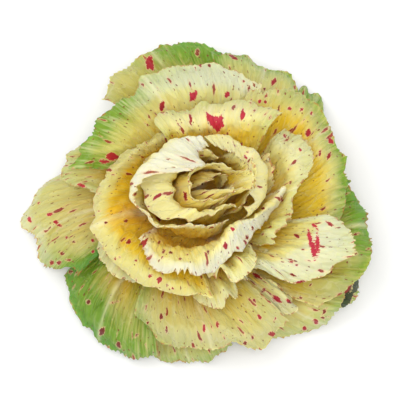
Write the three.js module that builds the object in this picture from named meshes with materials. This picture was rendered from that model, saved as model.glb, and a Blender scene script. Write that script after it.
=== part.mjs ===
// A loose head of speckled radicchio, cut from its root and standing on the cut, its leaves open like
// a rose.
//
// Every leaf springs from a round core and fills its own layer of space round the head. A layer is the
// gap between two cups that share the core: the inner cups stand upright, the outer ones lie almost flat.
// Leaves of one layer sit side by side, and leaves of different layers keep apart, however much they roll
// and wave.
//
// Millimetres and degrees, +Z up, with the origin at the centre of the cut stem.

import * as THREE from "three";

const STEM_RADIUS = 13;
const STEM_CHAMFER = 0.8;
const CORE_RADIUS = 14.5;
const CORE_HEIGHT = 14;
const CORE_STEPS = 8;
const CORE_SIDES = 28;
const ROOT_GAP = 0.5;
const ROOT = CORE_RADIUS + ROOT_GAP;

const FLOOR_GAP = 1.2;
const FLOOR_SOFTNESS = 4;
const FLOOR_REACH = 40;

// The cups: their angles from straight up, at the core and at the rim.
const LAYERS = 9;
const INNER_ROOT_ANGLE = 16;
const OUTER_ROOT_ANGLE = 106;
const OUTER_RIM_ANGLE = 96;
const RIM_SPREAD = 1.38;
const CUP_DEPTH = 62;
const SLOT_MARGIN = 0.08;
const THINNEST_SLOT = 3;

// What makes the cups uneven: an oval heart, a side pressed in, slow waves, a twist and a lean.
const OVAL = { amount: 0.22, layer: 3.2, width: 2.2 };
const DENT = { amount: 0.24, towards: 318, spread: 28, layer: 4.2, width: 1.4 };
const WAVES = [
  { turns: 3, degrees: 1.9, drift: 0.7, phase: 0.4 },
  { turns: 7, degrees: 1.1, drift: -0.6, phase: 1.1 },
];
const WAVE_REACH = 90;
const WAVE_START = 3;
const TWIST = { degrees: 9, reach: 85 };
const LEAN = { shift: 23, start: 34, height: 88, radius: 23 };

// The blade, its midrib and its edge.
const BLADE = 0.8;
const RIB = { height: 1.9, width: 5.5, start: 9, least: 0.4, fade: 12, end: 78, heart: 0.35, full: 5 };
const TOOTH = { height: 1.3, power: 6 };
const WAIST = { width: 0.62, length: 0.4 };
const SIDES = { crest: 0.22, flap: 0.55 };
const RUFFLE = { second: 0.6, pace: 0.43, power: 3 };
const STRAIGHT = 0.02;
const SPILL_LENGTH = 8;
const ROOT_SEAT = 0.22;
const STEP = 0.004;

// from, to: the arc of the head that the leaf covers at its rim. crest: how far its fold line is from the
// core's centre. flap, turn, bend: the rim past the fold, how far it turns (inwards if negative), and how
// softly. slant: how turn changes from one side to the other. seat: where the blade sits in its layer, so
// that one side of a leaf can lie over its neighbour. spill: how many layers the flap may reach past its
// own. wave, waves: the height and number of the ruffles. crest, flap and seat may be lists of sizes, from
// the first side to the last.
const LEAF = {
  flap: 12, turn: 60, bend: 9, slant: 0, seat: [0.85, 0.6, 0.35, 0.2, 0.12], spill: 0, wave: 3, waves: 3,
  columns: 10,
};
const HEART = { wave: 1, columns: 8, flap: 6 };

const LEAVES = [
  { ...HEART, name: "bud_leaf_front", layer: 0, from: 195, to: 372, turn: 40, crest: 64, seat: 0.9 },
  { ...HEART, name: "bud_leaf_back", layer: 0, from: 22, to: 186, turn: 20, crest: 58, seat: 0.95 },
  { ...HEART, name: "heart_leaf_right", layer: 1, from: -72, to: 84, turn: 20, crest: 73, seat: 0.4 },
  {
    ...HEART, name: "heart_leaf_left", layer: 1, from: 92, to: 278, turn: 60, bend: 8, spill: 0.1,
    wave: 1.2, waves: 4, columns: 10, crest: [68, 64, 61, 62, 66], flap: [6, 10, 11, 10, 6],
    seat: [0.4, 0.7, 0.8, 0.75, 0.4],
  },
  {
    ...HEART, name: "heart_leaf_front", layer: 2, from: 152, to: 316, turn: 80, bend: 15, spill: 0.75,
    wave: 1.2, waves: 7, columns: 15, crest: [60, 57, 57, 60, 64], flap: [18, 25, 24, 18, 10],
    seat: [0.2, 0.1, 0.1, 0.15, 0.25],
  },
  { ...HEART, name: "heart_leaf_east", layer: 2, from: -38, to: 80, turn: 30, crest: 70, seat: 0.6 },
  {
    ...HEART, name: "heart_leaf_west", layer: 2, from: 88, to: 148, turn: 75, bend: 12, spill: 0.5,
    wave: 1.2, columns: 7, crest: [66, 64, 62, 60, 58], flap: [6, 9, 12, 14, 14],
    seat: [0.3, 0.3, 0.35, 0.4, 0.4],
  },

  {
    name: "hood_leaf_right", layer: 3, from: -32, to: 96, turn: -112, spill: -1.4, wave: 0.8, columns: 12,
    crest: [70, 76, 77, 77, 75], flap: [12, 19, 21, 19, 10], seat: [0.75, 0.6, 0.5, 0.5, 0.5],
  },
  {
    name: "hood_leaf_left", layer: 3, from: 100, to: 302, turn: -78, slant: 60, spill: -1.4, wave: 0.8,
    columns: 13, crest: [75, 77, 74, 74, 69], flap: [14, 24, 4, 3, 4], seat: [0.5, 0.5, 0.78, 0.92, 0.85],
  },

  {
    name: "collar_leaf_front", layer: 4, from: 222, to: 362, turn: 105, slant: 15, bend: 5, spill: 0.4,
    wave: 0.8, columns: 16, crest: [72, 87, 95, 82, 76, 73, 69, 67, 74],
    flap: [4, 4, 6, 16, 24, 22, 18, 12, 4], seat: [0.7, 0.9, 1.3, 0.75, 0.4, 0.2, 0.1, 0.2, 0.7],
  },
  {
    name: "rose_leaf_back", layer: 4, from: 40, to: 128, turn: 100, bend: 12, spill: 0.8, wave: 1.8,
    columns: 11, crest: [86, 79, 72, 72, 70], flap: [14, 24, 24, 20, 10],
    seat: [0.9, 0.5, 0.05, 0.05, 0.3],
  },
  {
    name: "collar_leaf_right", layer: 4, from: 4, to: 36, turn: 40, columns: 8, crest: 66, flap: 6,
    seat: 0.6,
  },
  { name: "collar_leaf_left", layer: 4, from: 136, to: 214, wave: 1.5, columns: 9, crest: 50, flap: 6 },

  {
    name: "rose_leaf_left", layer: 5, from: 126, to: 275, turn: 85, wave: 1.8, columns: 13,
    crest: [50, 64, 80, 85, 88], flap: [14, 13, 9, 12, 6], seat: [0.05, 0.05, 0.3, 0.4, 0.9],
  },
  {
    name: "rose_leaf_right", layer: 5, from: -38, to: 38, turn: 60, spill: 0.3, wave: 3,
    crest: [68, 74, 75, 76, 68], flap: [4, 5, 8, 24, 20], seat: [0.5, 0.35, 0.15, 0.2, 0.1],
  },
  {
    name: "rose_leaf_front", layer: 5, from: 266, to: 317, columns: 9, crest: 72, flap: 10,
    seat: [0.15, 0.4, 0.7, 0.7, 0.6],
  },
  { name: "rose_leaf_hidden", layer: 5, from: 44, to: 120, columns: 8, crest: 58, flap: 6, seat: 0.4 },

  {
    name: "open_leaf_back", layer: 6, from: 60, to: 168, turn: 65, bend: 14, columns: 13,
    crest: [76, 77, 78, 79, 84], flap: [20, 24, 22, 15, 14], seat: [0.9, 0.2, 0.1, 0.1, 0.3],
  },
  {
    name: "open_leaf_right", layer: 6, from: -20, to: 66, wave: 4, columns: 11,
    crest: [88, 95, 90, 89, 76], flap: [12, 14, 14, 12, 12], seat: [0.9, 0.6, 0.4, 0.3, 0.12],
  },
  {
    name: "open_leaf_front_right", layer: 6, from: 298, to: 346, turn: 40, bend: 12, spill: 0.2,
    wave: 2.5, crest: [56, 62, 76, 86, 88], flap: [8, 16, 34, 34, 10], seat: [0.2, 0.1, 0.2, 0.2, 0.1],
  },
  { name: "open_leaf_front", layer: 6, from: 266, to: 297, columns: 7, crest: 72, flap: 10, seat: 0.6 },
  { name: "open_leaf_front_left", layer: 6, from: 196, to: 264, wave: 2, columns: 9, crest: 68, flap: 8 },

  {
    name: "outer_leaf_back", layer: 7, from: 75, to: 132, turn: 50, columns: 11,
    crest: [92, 97, 95, 93, 87], flap: [10, 12, 12, 12, 10],
  },
  {
    name: "outer_leaf_back_right", layer: 7, from: 40, to: 82, turn: 70, wave: 4,
    crest: [84, 96, 89, 94, 93], flap: [10, 14, 14, 14, 10],
  },
  {
    name: "outer_leaf_right", layer: 7, from: -48, to: 14, waves: 5, columns: 12,
    crest: [97, 108, 101, 93, 87], flap: [12, 14, 14, 12, 10], seat: [0.8, 0.4, 0.2, 0.2, 0.2],
  },
  {
    name: "outer_leaf_front_right", layer: 7, from: 300, to: 311, turn: 50, columns: 7,
    crest: [66, 76, 80, 82, 74], flap: [14, 18, 20, 20, 14],
  },
  {
    name: "outer_leaf_front", layer: 7, from: 240, to: 303, wave: 4, columns: 12,
    crest: [74, 86, 87, 93, 84], flap: [16, 18, 18, 20, 16],
  },
  { name: "outer_leaf_front_left", layer: 7, from: 198, to: 244, columns: 8, crest: 70, flap: 8 },
  {
    name: "outer_leaf_left_tip", layer: 7, from: 146, to: 179, columns: 9, crest: [62, 82, 86, 82, 66],
    flap: 10,
  },

  {
    name: "base_leaf_front_left", layer: 8, from: 204, to: 251, wave: 3.5, columns: 13,
    crest: [90, 95, 98, 100, 94], flap: [14, 16, 18, 16, 12],
  },
  {
    name: "base_leaf_front", layer: 8, from: 244, to: 280, wave: 2, crest: [92, 98, 94, 93, 90], flap: 10,
  },
  {
    name: "base_leaf_front_right", layer: 8, from: 284, to: 334, wave: 4, crest: [92, 90, 104, 109, 98],
    flap: 12,
  },
  { name: "base_leaf_right", layer: 8, from: -32, to: 24, columns: 9, crest: 88, flap: 10 },
  {
    name: "base_leaf_back_right", layer: 8, from: 18, to: 58, columns: 9, crest: [76, 90, 102, 92, 76],
    flap: 10,
  },
  { name: "base_leaf_back", layer: 8, from: 52, to: 112, columns: 9, crest: 86, flap: 10 },
  { name: "base_leaf_back_left", layer: 8, from: 106, to: 168, columns: 9, crest: 76, flap: 10 },
  {
    name: "base_leaf_left", layer: 8, from: 162, to: 210, turn: 40, wave: 3.5, columns: 11,
    crest: [80, 106, 101, 95, 88], flap: 12,
  },
];

// Where the rows of a blade lie, from its root to its rim.
const ROWS = [0, 0.13, 0.28, 0.43, 0.57, 0.68, 0.77, 0.85, 0.92, 1];

// The leaves grow paler towards the rim of the heart, then greener towards the base.
const KINDS = [
  { below: 3, colour: "#e6d795" },
  { below: 5, colour: "#e9e3b4" },
  { below: 7, colour: "#d3d08a" },
  { below: LAYERS, colour: "#a9bd62" },
];
const STEM_COLOUR = "#e8e2c0";
const LEAF_ROUGHNESS = 0.55;

const { degToRad: radians, lerp: mix, clamp } = THREE.MathUtils;
const ease = (x) => THREE.MathUtils.smoothstep(x, 0, 1);
const bell = (x, width) => Math.exp(-((x / width) ** 2));

// The angle between two directions, in degrees, at most 180 either way.
const between = (a, b) => ((((a - b) % 360) + 540) % 360) - 180;

// The angle from straight up, in degrees, of the cup at a depth in layers, towards theta, at rho from the
// core's centre.
function cupAngle(depth, theta, rho) {
  const share = depth / LAYERS;
  const root = mix(INNER_ROOT_ANGLE, OUTER_ROOT_ANGLE, share);
  const oval = OVAL.amount * Math.cos(2 * theta) * bell(depth - OVAL.layer, OVAL.width);
  const away = between(THREE.MathUtils.radToDeg(theta), DENT.towards);
  const dent = DENT.amount * bell(away, DENT.spread) * bell(depth - DENT.layer, DENT.width);
  const rim = OUTER_RIM_ANGLE * share ** RIM_SPREAD * (1 + oval - dent);
  let wave = 0;
  for (const w of WAVES) wave += w.degrees * Math.sin(w.turns * theta + w.drift * depth + w.phase);
  const growing = Math.min(1, share * WAVE_START);
  return mix(root, rim, ease((rho - ROOT) / CUP_DEPTH)) + growing * wave * (rho / WAVE_REACH) ** 2;
}

// The head twists as it rises, its heart leans over, and its lowest leaves stop short of the ground.
function place(angle, theta, rho) {
  const turned = theta + radians(TWIST.degrees) * ((rho / TWIST.reach) ** 2 - 1);
  const polar = radians(angle);
  const z = CORE_HEIGHT + rho * Math.cos(polar);
  const r = rho * Math.sin(polar);
  const raised = Math.max(0, z - LEAN.start) / (LEAN.height - LEAN.start);
  const lean = LEAN.shift * raised ** 2 * bell(r, LEAN.radius);
  const lifted = FLOOR_GAP + FLOOR_SOFTNESS * Math.log1p(Math.exp((z - FLOOR_GAP) / FLOOR_SOFTNESS));
  return new THREE.Vector3(r * Math.cos(turned) + lean, r * Math.sin(turned), z > FLOOR_REACH ? z : lifted);
}

// How far the rim has gone up (along) and outwards (across) when it has run a length past the fold.
function fold(leaf, length, turn) {
  if (Math.abs(turn) < STRAIGHT) return { along: length, across: 0 };
  const radius = leaf.bend / turn;
  const bent = Math.min(length, leaf.bend) / radius;
  const straight = Math.max(0, length - leaf.bend);
  return {
    along: radius * Math.sin(bent) + straight * Math.cos(turn),
    across: radius * (1 - Math.cos(bent)) + straight * Math.sin(turn),
  };
}

// A size at u across a leaf. A smooth curve joins a list of sizes; a single one falls away at both sides.
function across(size, u, loss) {
  if (!Array.isArray(size)) return size * (1 - loss * Math.abs(u) ** 3);
  const last = size.length - 1;
  const x = clamp(((u + 1) / 2) * last, 0, last);
  const k = Math.min(last - 1, Math.floor(x));
  const t = x - k;
  const [a, b, c, d] = [-1, 0, 1, 2].map((step) => size[clamp(k + step, 0, last)]);
  return b + (t / 2) * (c - a + t * (2 * a - 5 * b + 4 * c - d + t * (3 * (b - c) + d - a)));
}

// A place in a layer, held between its two cups, or past one of them by the leaf's spill.
function hold(seat, spill) {
  const low = SLOT_MARGIN + Math.min(0, spill);
  const high = 1 - SLOT_MARGIN + Math.max(0, spill);
  const middle = (low + high) / 2;
  const reach = (high - low) / 2;
  return middle + reach * Math.tanh((seat - middle) / reach);
}

// A point of a leaf: u runs from -1 to 1 across it, and v from 0 at the root to 1 at the rim.
function leafPoint(leaf, u, v, tooth = 0) {
  const half = (leaf.to - leaf.from) / 2;
  const narrow = mix(WAIST.width, 1, ease(v / WAIST.length));
  const theta = radians((leaf.from + leaf.to) / 2 + half * u * narrow);
  const wall = across(leaf.crest, u, SIDES.crest) - ROOT;
  const flap = across(leaf.flap, u, SIDES.flap);
  const run = v * (wall + flap) + tooth * v ** TOOTH.power;
  const past = Math.max(0, run - wall);
  const rim = fold(leaf, past, radians(leaf.turn + leaf.slant * u));
  const rho = ROOT + Math.min(run, wall) + rim.along;

  const phase = leaf.from + leaf.layer;
  const swing = Math.PI * leaf.waves * u;
  const ruffle = Math.sin(swing + phase) + RUFFLE.second * Math.sin(swing * RUFFLE.pace - phase);
  const slot = Math.max(THINNEST_SLOT, (rho * radians(OUTER_RIM_ANGLE)) / LAYERS);
  const moved = (rim.across + leaf.wave * v ** RUFFLE.power * ruffle) / slot;
  const settled = mix(ROOT_SEAT, across(leaf.seat, u, 0), ease(v / WAIST.length));
  const held = hold(settled + moved, leaf.spill * ease(past / SPILL_LENGTH));
  return place(cupAngle(leaf.layer + held, theta, rho), theta, rho);
}

// The direction from the heart side of the blade to its back.
function leafNormal(leaf, u, v) {
  const sideways = leafPoint(leaf, u + STEP, v).sub(leafPoint(leaf, u - STEP, v));
  const along = leafPoint(leaf, u, Math.min(1, v + STEP)).sub(leafPoint(leaf, u, Math.max(0, v - STEP)));
  return sideways.cross(along).normalize();
}

// The midrib is thick near the root, fades into the blade, and stands out on the back.
function backThickness(leaf, u, v) {
  const run = v * (across(leaf.crest, 0, 0) - ROOT);
  const taper = mix(RIB.least, 1, ease(run / RIB.start));
  const fade = 1 - ease((run - RIB.fade) / RIB.end);
  const sideways = radians(leaf.to - leaf.from) * 0.5 * u * (ROOT + run / 2);
  const size = mix(RIB.heart, 1, ease(leaf.layer / RIB.full));
  return BLADE / 2 + RIB.height * size * taper * fade * bell(sideways, RIB.width);
}

// A blade is two faces with the same rows and columns, split alike, and a rim of quads round them.
function leafGeometry(leaf) {
  const columns = leaf.columns;
  const rows = ROWS.length - 1;
  const front = [];
  const back = [];
  for (const [j, v] of ROWS.entries()) {
    for (let i = 0; i <= columns; i++) {
      const u = (2 * i) / columns - 1;
      const tooth = i % 2 ? TOOTH.height : -TOOTH.height;
      const middle = leafPoint(leaf, u, v, tooth);
      const normal = leafNormal(leaf, u, v);
      front.push(middle.clone().addScaledVector(normal, -BLADE / 2));
      back.push(middle.clone().addScaledVector(normal, backThickness(leaf, u, v)));
    }
  }
  const at = (i, j, side) => side * front.length + j * (columns + 1) + i;
  const triangles = [];
  const quad = (a, b, c, d) => triangles.push(a, b, c, a, c, d);
  for (let j = 0; j < rows; j++) {
    for (let i = 0; i < columns; i++) {
      quad(at(i, j, 0), at(i, j + 1, 0), at(i + 1, j + 1, 0), at(i + 1, j, 0));
      quad(at(i, j, 1), at(i + 1, j, 1), at(i + 1, j + 1, 1), at(i, j + 1, 1));
    }
  }
  for (let i = 0; i < columns; i++) {
    quad(at(i, 0, 0), at(i + 1, 0, 0), at(i + 1, 0, 1), at(i, 0, 1));
    quad(at(i + 1, rows, 0), at(i, rows, 0), at(i, rows, 1), at(i + 1, rows, 1));
  }
  for (let j = 0; j < rows; j++) {
    quad(at(0, j + 1, 0), at(0, j, 0), at(0, j, 1), at(0, j + 1, 1));
    quad(at(columns, j, 0), at(columns, j + 1, 0), at(columns, j + 1, 1), at(columns, j, 1));
  }
  const geometry = new THREE.BufferGeometry().setFromPoints([...front, ...back]);
  geometry.setIndex(triangles);
  geometry.computeVertexNormals();
  return geometry;
}

// The stem is cut flat, widens into the core, and closes in a dome under the innermost leaves.
function coreGeometry() {
  const profile = [
    new THREE.Vector2(0, 0),
    new THREE.Vector2(STEM_RADIUS - STEM_CHAMFER, 0),
    new THREE.Vector2(STEM_RADIUS, STEM_CHAMFER),
  ];
  const bottom = Math.PI - Math.asin(STEM_RADIUS / CORE_RADIUS);
  for (let k = 0; k < CORE_STEPS; k++) {
    const angle = mix(bottom, 0, k / CORE_STEPS);
    const height = CORE_HEIGHT + CORE_RADIUS * Math.cos(angle);
    profile.push(new THREE.Vector2(CORE_RADIUS * Math.sin(angle), height));
  }
  profile.push(new THREE.Vector2(0, CORE_HEIGHT + CORE_RADIUS));
  return new THREE.LatheGeometry(profile, CORE_SIDES).rotateX(Math.PI / 2);
}

function piece(name, geometry, colour) {
  const settings = { color: colour, roughness: LEAF_ROUGHNESS, metalness: 0, side: THREE.DoubleSide };
  const mesh = new THREE.Mesh(geometry, new THREE.MeshStandardMaterial(settings));
  mesh.name = name;
  return mesh;
}

const head = new THREE.Group();
head.add(piece("stem_core", coreGeometry(), STEM_COLOUR));
for (const options of LEAVES) {
  const leaf = { ...LEAF, ...options };
  const kind = KINDS.find(({ below }) => leaf.layer < below);
  head.add(piece(leaf.name, leafGeometry(leaf), kind.colour));
}

export default head;
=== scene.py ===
"""A loose head of speckled radicchio: thin waved leaves with veins, green margins and crimson flecks."""

import logging
import math
from dataclasses import dataclass, field
from enum import Enum

import bpy
import numpy as np
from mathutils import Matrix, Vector
from mathutils.bvhtree import BVHTree


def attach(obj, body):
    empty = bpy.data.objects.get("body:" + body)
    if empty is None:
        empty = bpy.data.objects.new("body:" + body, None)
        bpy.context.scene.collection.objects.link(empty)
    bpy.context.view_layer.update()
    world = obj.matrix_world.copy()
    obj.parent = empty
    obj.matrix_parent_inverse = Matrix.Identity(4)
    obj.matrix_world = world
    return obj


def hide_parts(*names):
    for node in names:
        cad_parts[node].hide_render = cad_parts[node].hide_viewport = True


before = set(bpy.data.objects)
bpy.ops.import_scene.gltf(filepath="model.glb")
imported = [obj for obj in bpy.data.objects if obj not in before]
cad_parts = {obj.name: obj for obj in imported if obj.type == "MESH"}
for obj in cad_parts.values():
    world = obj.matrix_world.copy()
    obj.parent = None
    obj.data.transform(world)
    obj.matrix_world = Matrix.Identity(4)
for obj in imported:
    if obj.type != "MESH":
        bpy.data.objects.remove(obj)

log = logging.getLogger("radicchio")

MM = 0.001
Array = np.ndarray
Profile = float | tuple[float, ...]


def ease(x: Array | float) -> Array:
    """Return x held between 0 and 1 and smoothed at both ends."""
    held = np.clip(x, 0.0, 1.0)
    return held * held * (3.0 - 2.0 * held)


def bell(x: Array | float, width: float) -> Array:
    """Return a smooth hump of height 1 at 0 that fades over width."""
    return np.exp(-((x / width) ** 2))


def mix(a: Array | float, b: Array | float, share: Array | float) -> Array:
    """Return the value a share of the way from a to b."""
    return a + (b - a) * share


def across(size: Profile, u: Array, loss: float = 0.0) -> Array:
    """Return a size at u across a leaf.

    Args:
        size: One size, or several that a smooth curve joins from the first side to the last.
        u: Places across the leaf, from -1 to 1.
        loss: How much of a single size is lost at both sides.

    Returns:
        The size at each place.
    """
    if not isinstance(size, tuple):
        return size * (1.0 - loss * np.abs(u) ** 3)
    knots = np.array(size, float)
    last = len(knots) - 1
    x = np.clip((u + 1.0) / 2.0 * last, 0.0, last)
    k = np.minimum(last - 1, np.floor(x)).astype(int)
    t = x - k
    a, b, c, d = (knots[np.clip(k + step, 0, last)] for step in (-1, 0, 1, 2))
    return b + t / 2.0 * (c - a + t * (2.0 * a - 5.0 * b + 4.0 * c - d + t * (3.0 * (b - c) + d - a)))


class Noise:
    """Smooth random values over a plane, the same on every run."""

    SIDE = 64

    def __init__(self, seed: int) -> None:
        """Draw the lattice from a seed."""
        self.lattice = np.random.default_rng(seed).uniform(-1.0, 1.0, (self.SIDE, self.SIDE))

    def __call__(self, x: Array, y: Array | float = 0.0) -> Array:
        """Return the noise at places of the plane.

        Args:
            x: How far along the first axis.
            y: How far along the second axis.

        Returns:
            Values from -1 to 1 that change over a distance of about 1.
        """
        x, y = np.broadcast_arrays(np.asarray(x, float), np.asarray(y, float))
        i, j = np.floor(x).astype(int), np.floor(y).astype(int)
        s, t = ease(x - i), ease(y - j)
        low = mix(self._at(i, j), self._at(i + 1, j), s)
        high = mix(self._at(i, j + 1), self._at(i + 1, j + 1), s)
        return mix(low, high, t)

    def _at(self, i: Array, j: Array) -> Array:
        """Return the lattice values at whole places."""
        return self.lattice[i % self.SIDE, j % self.SIDE]


@dataclass(frozen=True)
class Cups:
    """The nested cups that the leaves grow between, in millimetres and degrees; a layer lies between two.

    Each cup leaves the core at its root angle, from straight up, and opens to its rim angle over the depth;
    rim_spread keeps the inner cups closed. oval is how much the rims widen along X, at which layer and over
    how many layers. dent is how much they stand in, towards which direction, over what angle, at which
    layer and over how many. waves are the turns, height, drift from layer to layer and phase of the waves
    round a rim. twist is how far the head turns as it rises, and over what reach. lean is how far the heart
    leans, from what height to what height, and within what radius. Below floor_reach the leaves settle
    softly on a floor.
    """

    layers: int = 9
    root: float = 15.0
    core_height: float = 14.0
    inner_root_angle: float = 16.0
    outer_root_angle: float = 106.0
    outer_rim_angle: float = 96.0
    rim_spread: float = 1.38
    depth: float = 62.0
    oval: tuple[float, float, float] = (0.22, 3.2, 2.2)
    dent: tuple[float, float, float, float, float] = (0.24, 318.0, 28.0, 4.2, 1.4)
    waves: tuple[tuple[float, float, float, float], ...] = ((3, 1.9, 0.7, 0.4), (7, 1.1, -0.6, 1.1))
    wave_reach: float = 90.0
    wave_start: float = 3.0
    twist: tuple[float, float] = (9.0, 85.0)
    lean: tuple[float, float, float, float] = (23.0, 34.0, 88.0, 23.0)
    floor_gap: float = 1.2
    floor_softness: float = 4.0
    floor_reach: float = 40.0

    def angle(self, depth: Array, theta: Array, rho: Array) -> Array:
        """Return the angle from straight up of a cup.

        Args:
            depth: How many layers out from the heart.
            theta: The direction round the head, in radians.
            rho: The distance from the core's centre.

        Returns:
            The angle in degrees.
        """
        share = depth / self.layers
        root = mix(self.inner_root_angle, self.outer_root_angle, share)
        amount, layer, width = self.oval
        oval = amount * np.cos(2.0 * theta) * bell(depth - layer, width)
        amount, towards, spread, layer, width = self.dent
        away = (np.degrees(theta) - towards + 180.0) % 360.0 - 180.0
        dent = amount * bell(away, spread) * bell(depth - layer, width)
        rim = self.outer_rim_angle * np.abs(share) ** self.rim_spread * (1.0 + oval - dent)
        wave = sum(
            degrees * np.sin(turns * theta + drift * depth + phase)
            for turns, degrees, drift, phase in self.waves
        )
        growing = np.minimum(1.0, share * self.wave_start)
        opened = mix(root, rim, ease((rho - self.root) / self.depth))
        return opened + growing * wave * (rho / self.wave_reach) ** 2

    def place(self, angle: Array, theta: Array, rho: Array) -> Array:
        """Return points of the head, which twists as it rises, leans at its heart and clears the ground.

        Args:
            angle: The angle of the cup from straight up, in degrees.
            theta: The direction round the head, in radians.
            rho: The distance from the core's centre.

        Returns:
            One point for each place, in millimetres.
        """
        degrees, reach = self.twist
        turned = theta + math.radians(degrees) * ((rho / reach) ** 2 - 1.0)
        polar = np.radians(angle)
        z = self.core_height + rho * np.cos(polar)
        r = rho * np.sin(polar)
        shift, start, height, radius = self.lean
        raised = np.maximum(0.0, z - start) / (height - start)
        lean = shift * raised**2 * bell(r, radius)
        rise = np.log1p(np.exp((z - self.floor_gap) / self.floor_softness))
        lifted = self.floor_gap + self.floor_softness * rise
        high = np.where(z > self.floor_reach, z, lifted)
        return np.stack([r * np.cos(turned) + lean, r * np.sin(turned), high], -1)


CUPS = Cups()


class Kind(Enum):
    """The four looks that leaves have, from the pale heart to the green base."""

    HEART = "heart_leaf"
    RIM = "rim_leaf"
    OPEN = "open_leaf"
    GREEN = "green_leaf"


@dataclass(frozen=True)
class Leaf:
    """One leaf: the arc that it covers, its fold, its seat in its layer, its edge and its colours.

    start and stop are the arc in degrees, and every size is in millimetres. crest is how far the fold line
    is from the core's centre; flap, turn and bend are the rim past the fold, how far it turns and how
    softly; slant is how turn changes across the leaf; spill is how many layers the flap may reach past its
    own. seat is where in its layer the leaf lies, from 0 at the inner side to 1. wave and waves are the
    height and number of its waves. pleat and ragged are the heights of the pleats and the teeth. green is
    how green the margin is, from the first side to the last, and greenward is how far the green comes in
    from it. golden is the share of the way up to the fold that is all gold, a gold that is partly the
    leaf's own yellow and partly painted shade on the wall. pale is how pale the rim and the margin are,
    the painted shade is how much olive darkening, outside its gold, stands in for shade on a leaf that lies
    away from the light, and grooved is the depth of the fine grooves along the leaf.
    """

    name: str
    layer: int
    start: float
    stop: float
    crest: Profile
    flap: Profile = 12.0
    turn: float = 60.0
    bend: float = 9.0
    slant: float = 0.0
    seat: Profile = (0.85, 0.6, 0.35, 0.2, 0.12)
    spill: float = 0.0
    wave: float = 3.0
    waves: float = 3.0
    pleat: float = 0.9
    ragged: float = 1.0
    green: Profile = 0.0
    greenward: float = 16.0
    golden: float = 0.6
    pale: float = 0.45
    painted_shade: float = 0.0
    grooved: float = 0.15

    @property
    def kind(self) -> Kind:
        """Return the look of the leaf's layer."""
        ends = ((3, Kind.HEART), (5, Kind.RIM), (7, Kind.OPEN))
        return next((kind for below, kind in ends if self.layer < below), Kind.GREEN)


def heart(name: str, layer: int, start: float, stop: float, crest: Profile, **more: Profile) -> Leaf:
    """Return a small leaf of the heart, which hardly waves."""
    return Leaf(name, layer, start, stop, crest, **({"wave": 1.0, "flap": 6.0, "pleat": 0.5} | more))


# Leaves that lie away from the light are given a painted shade, an olive darkening outside their gold.
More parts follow.
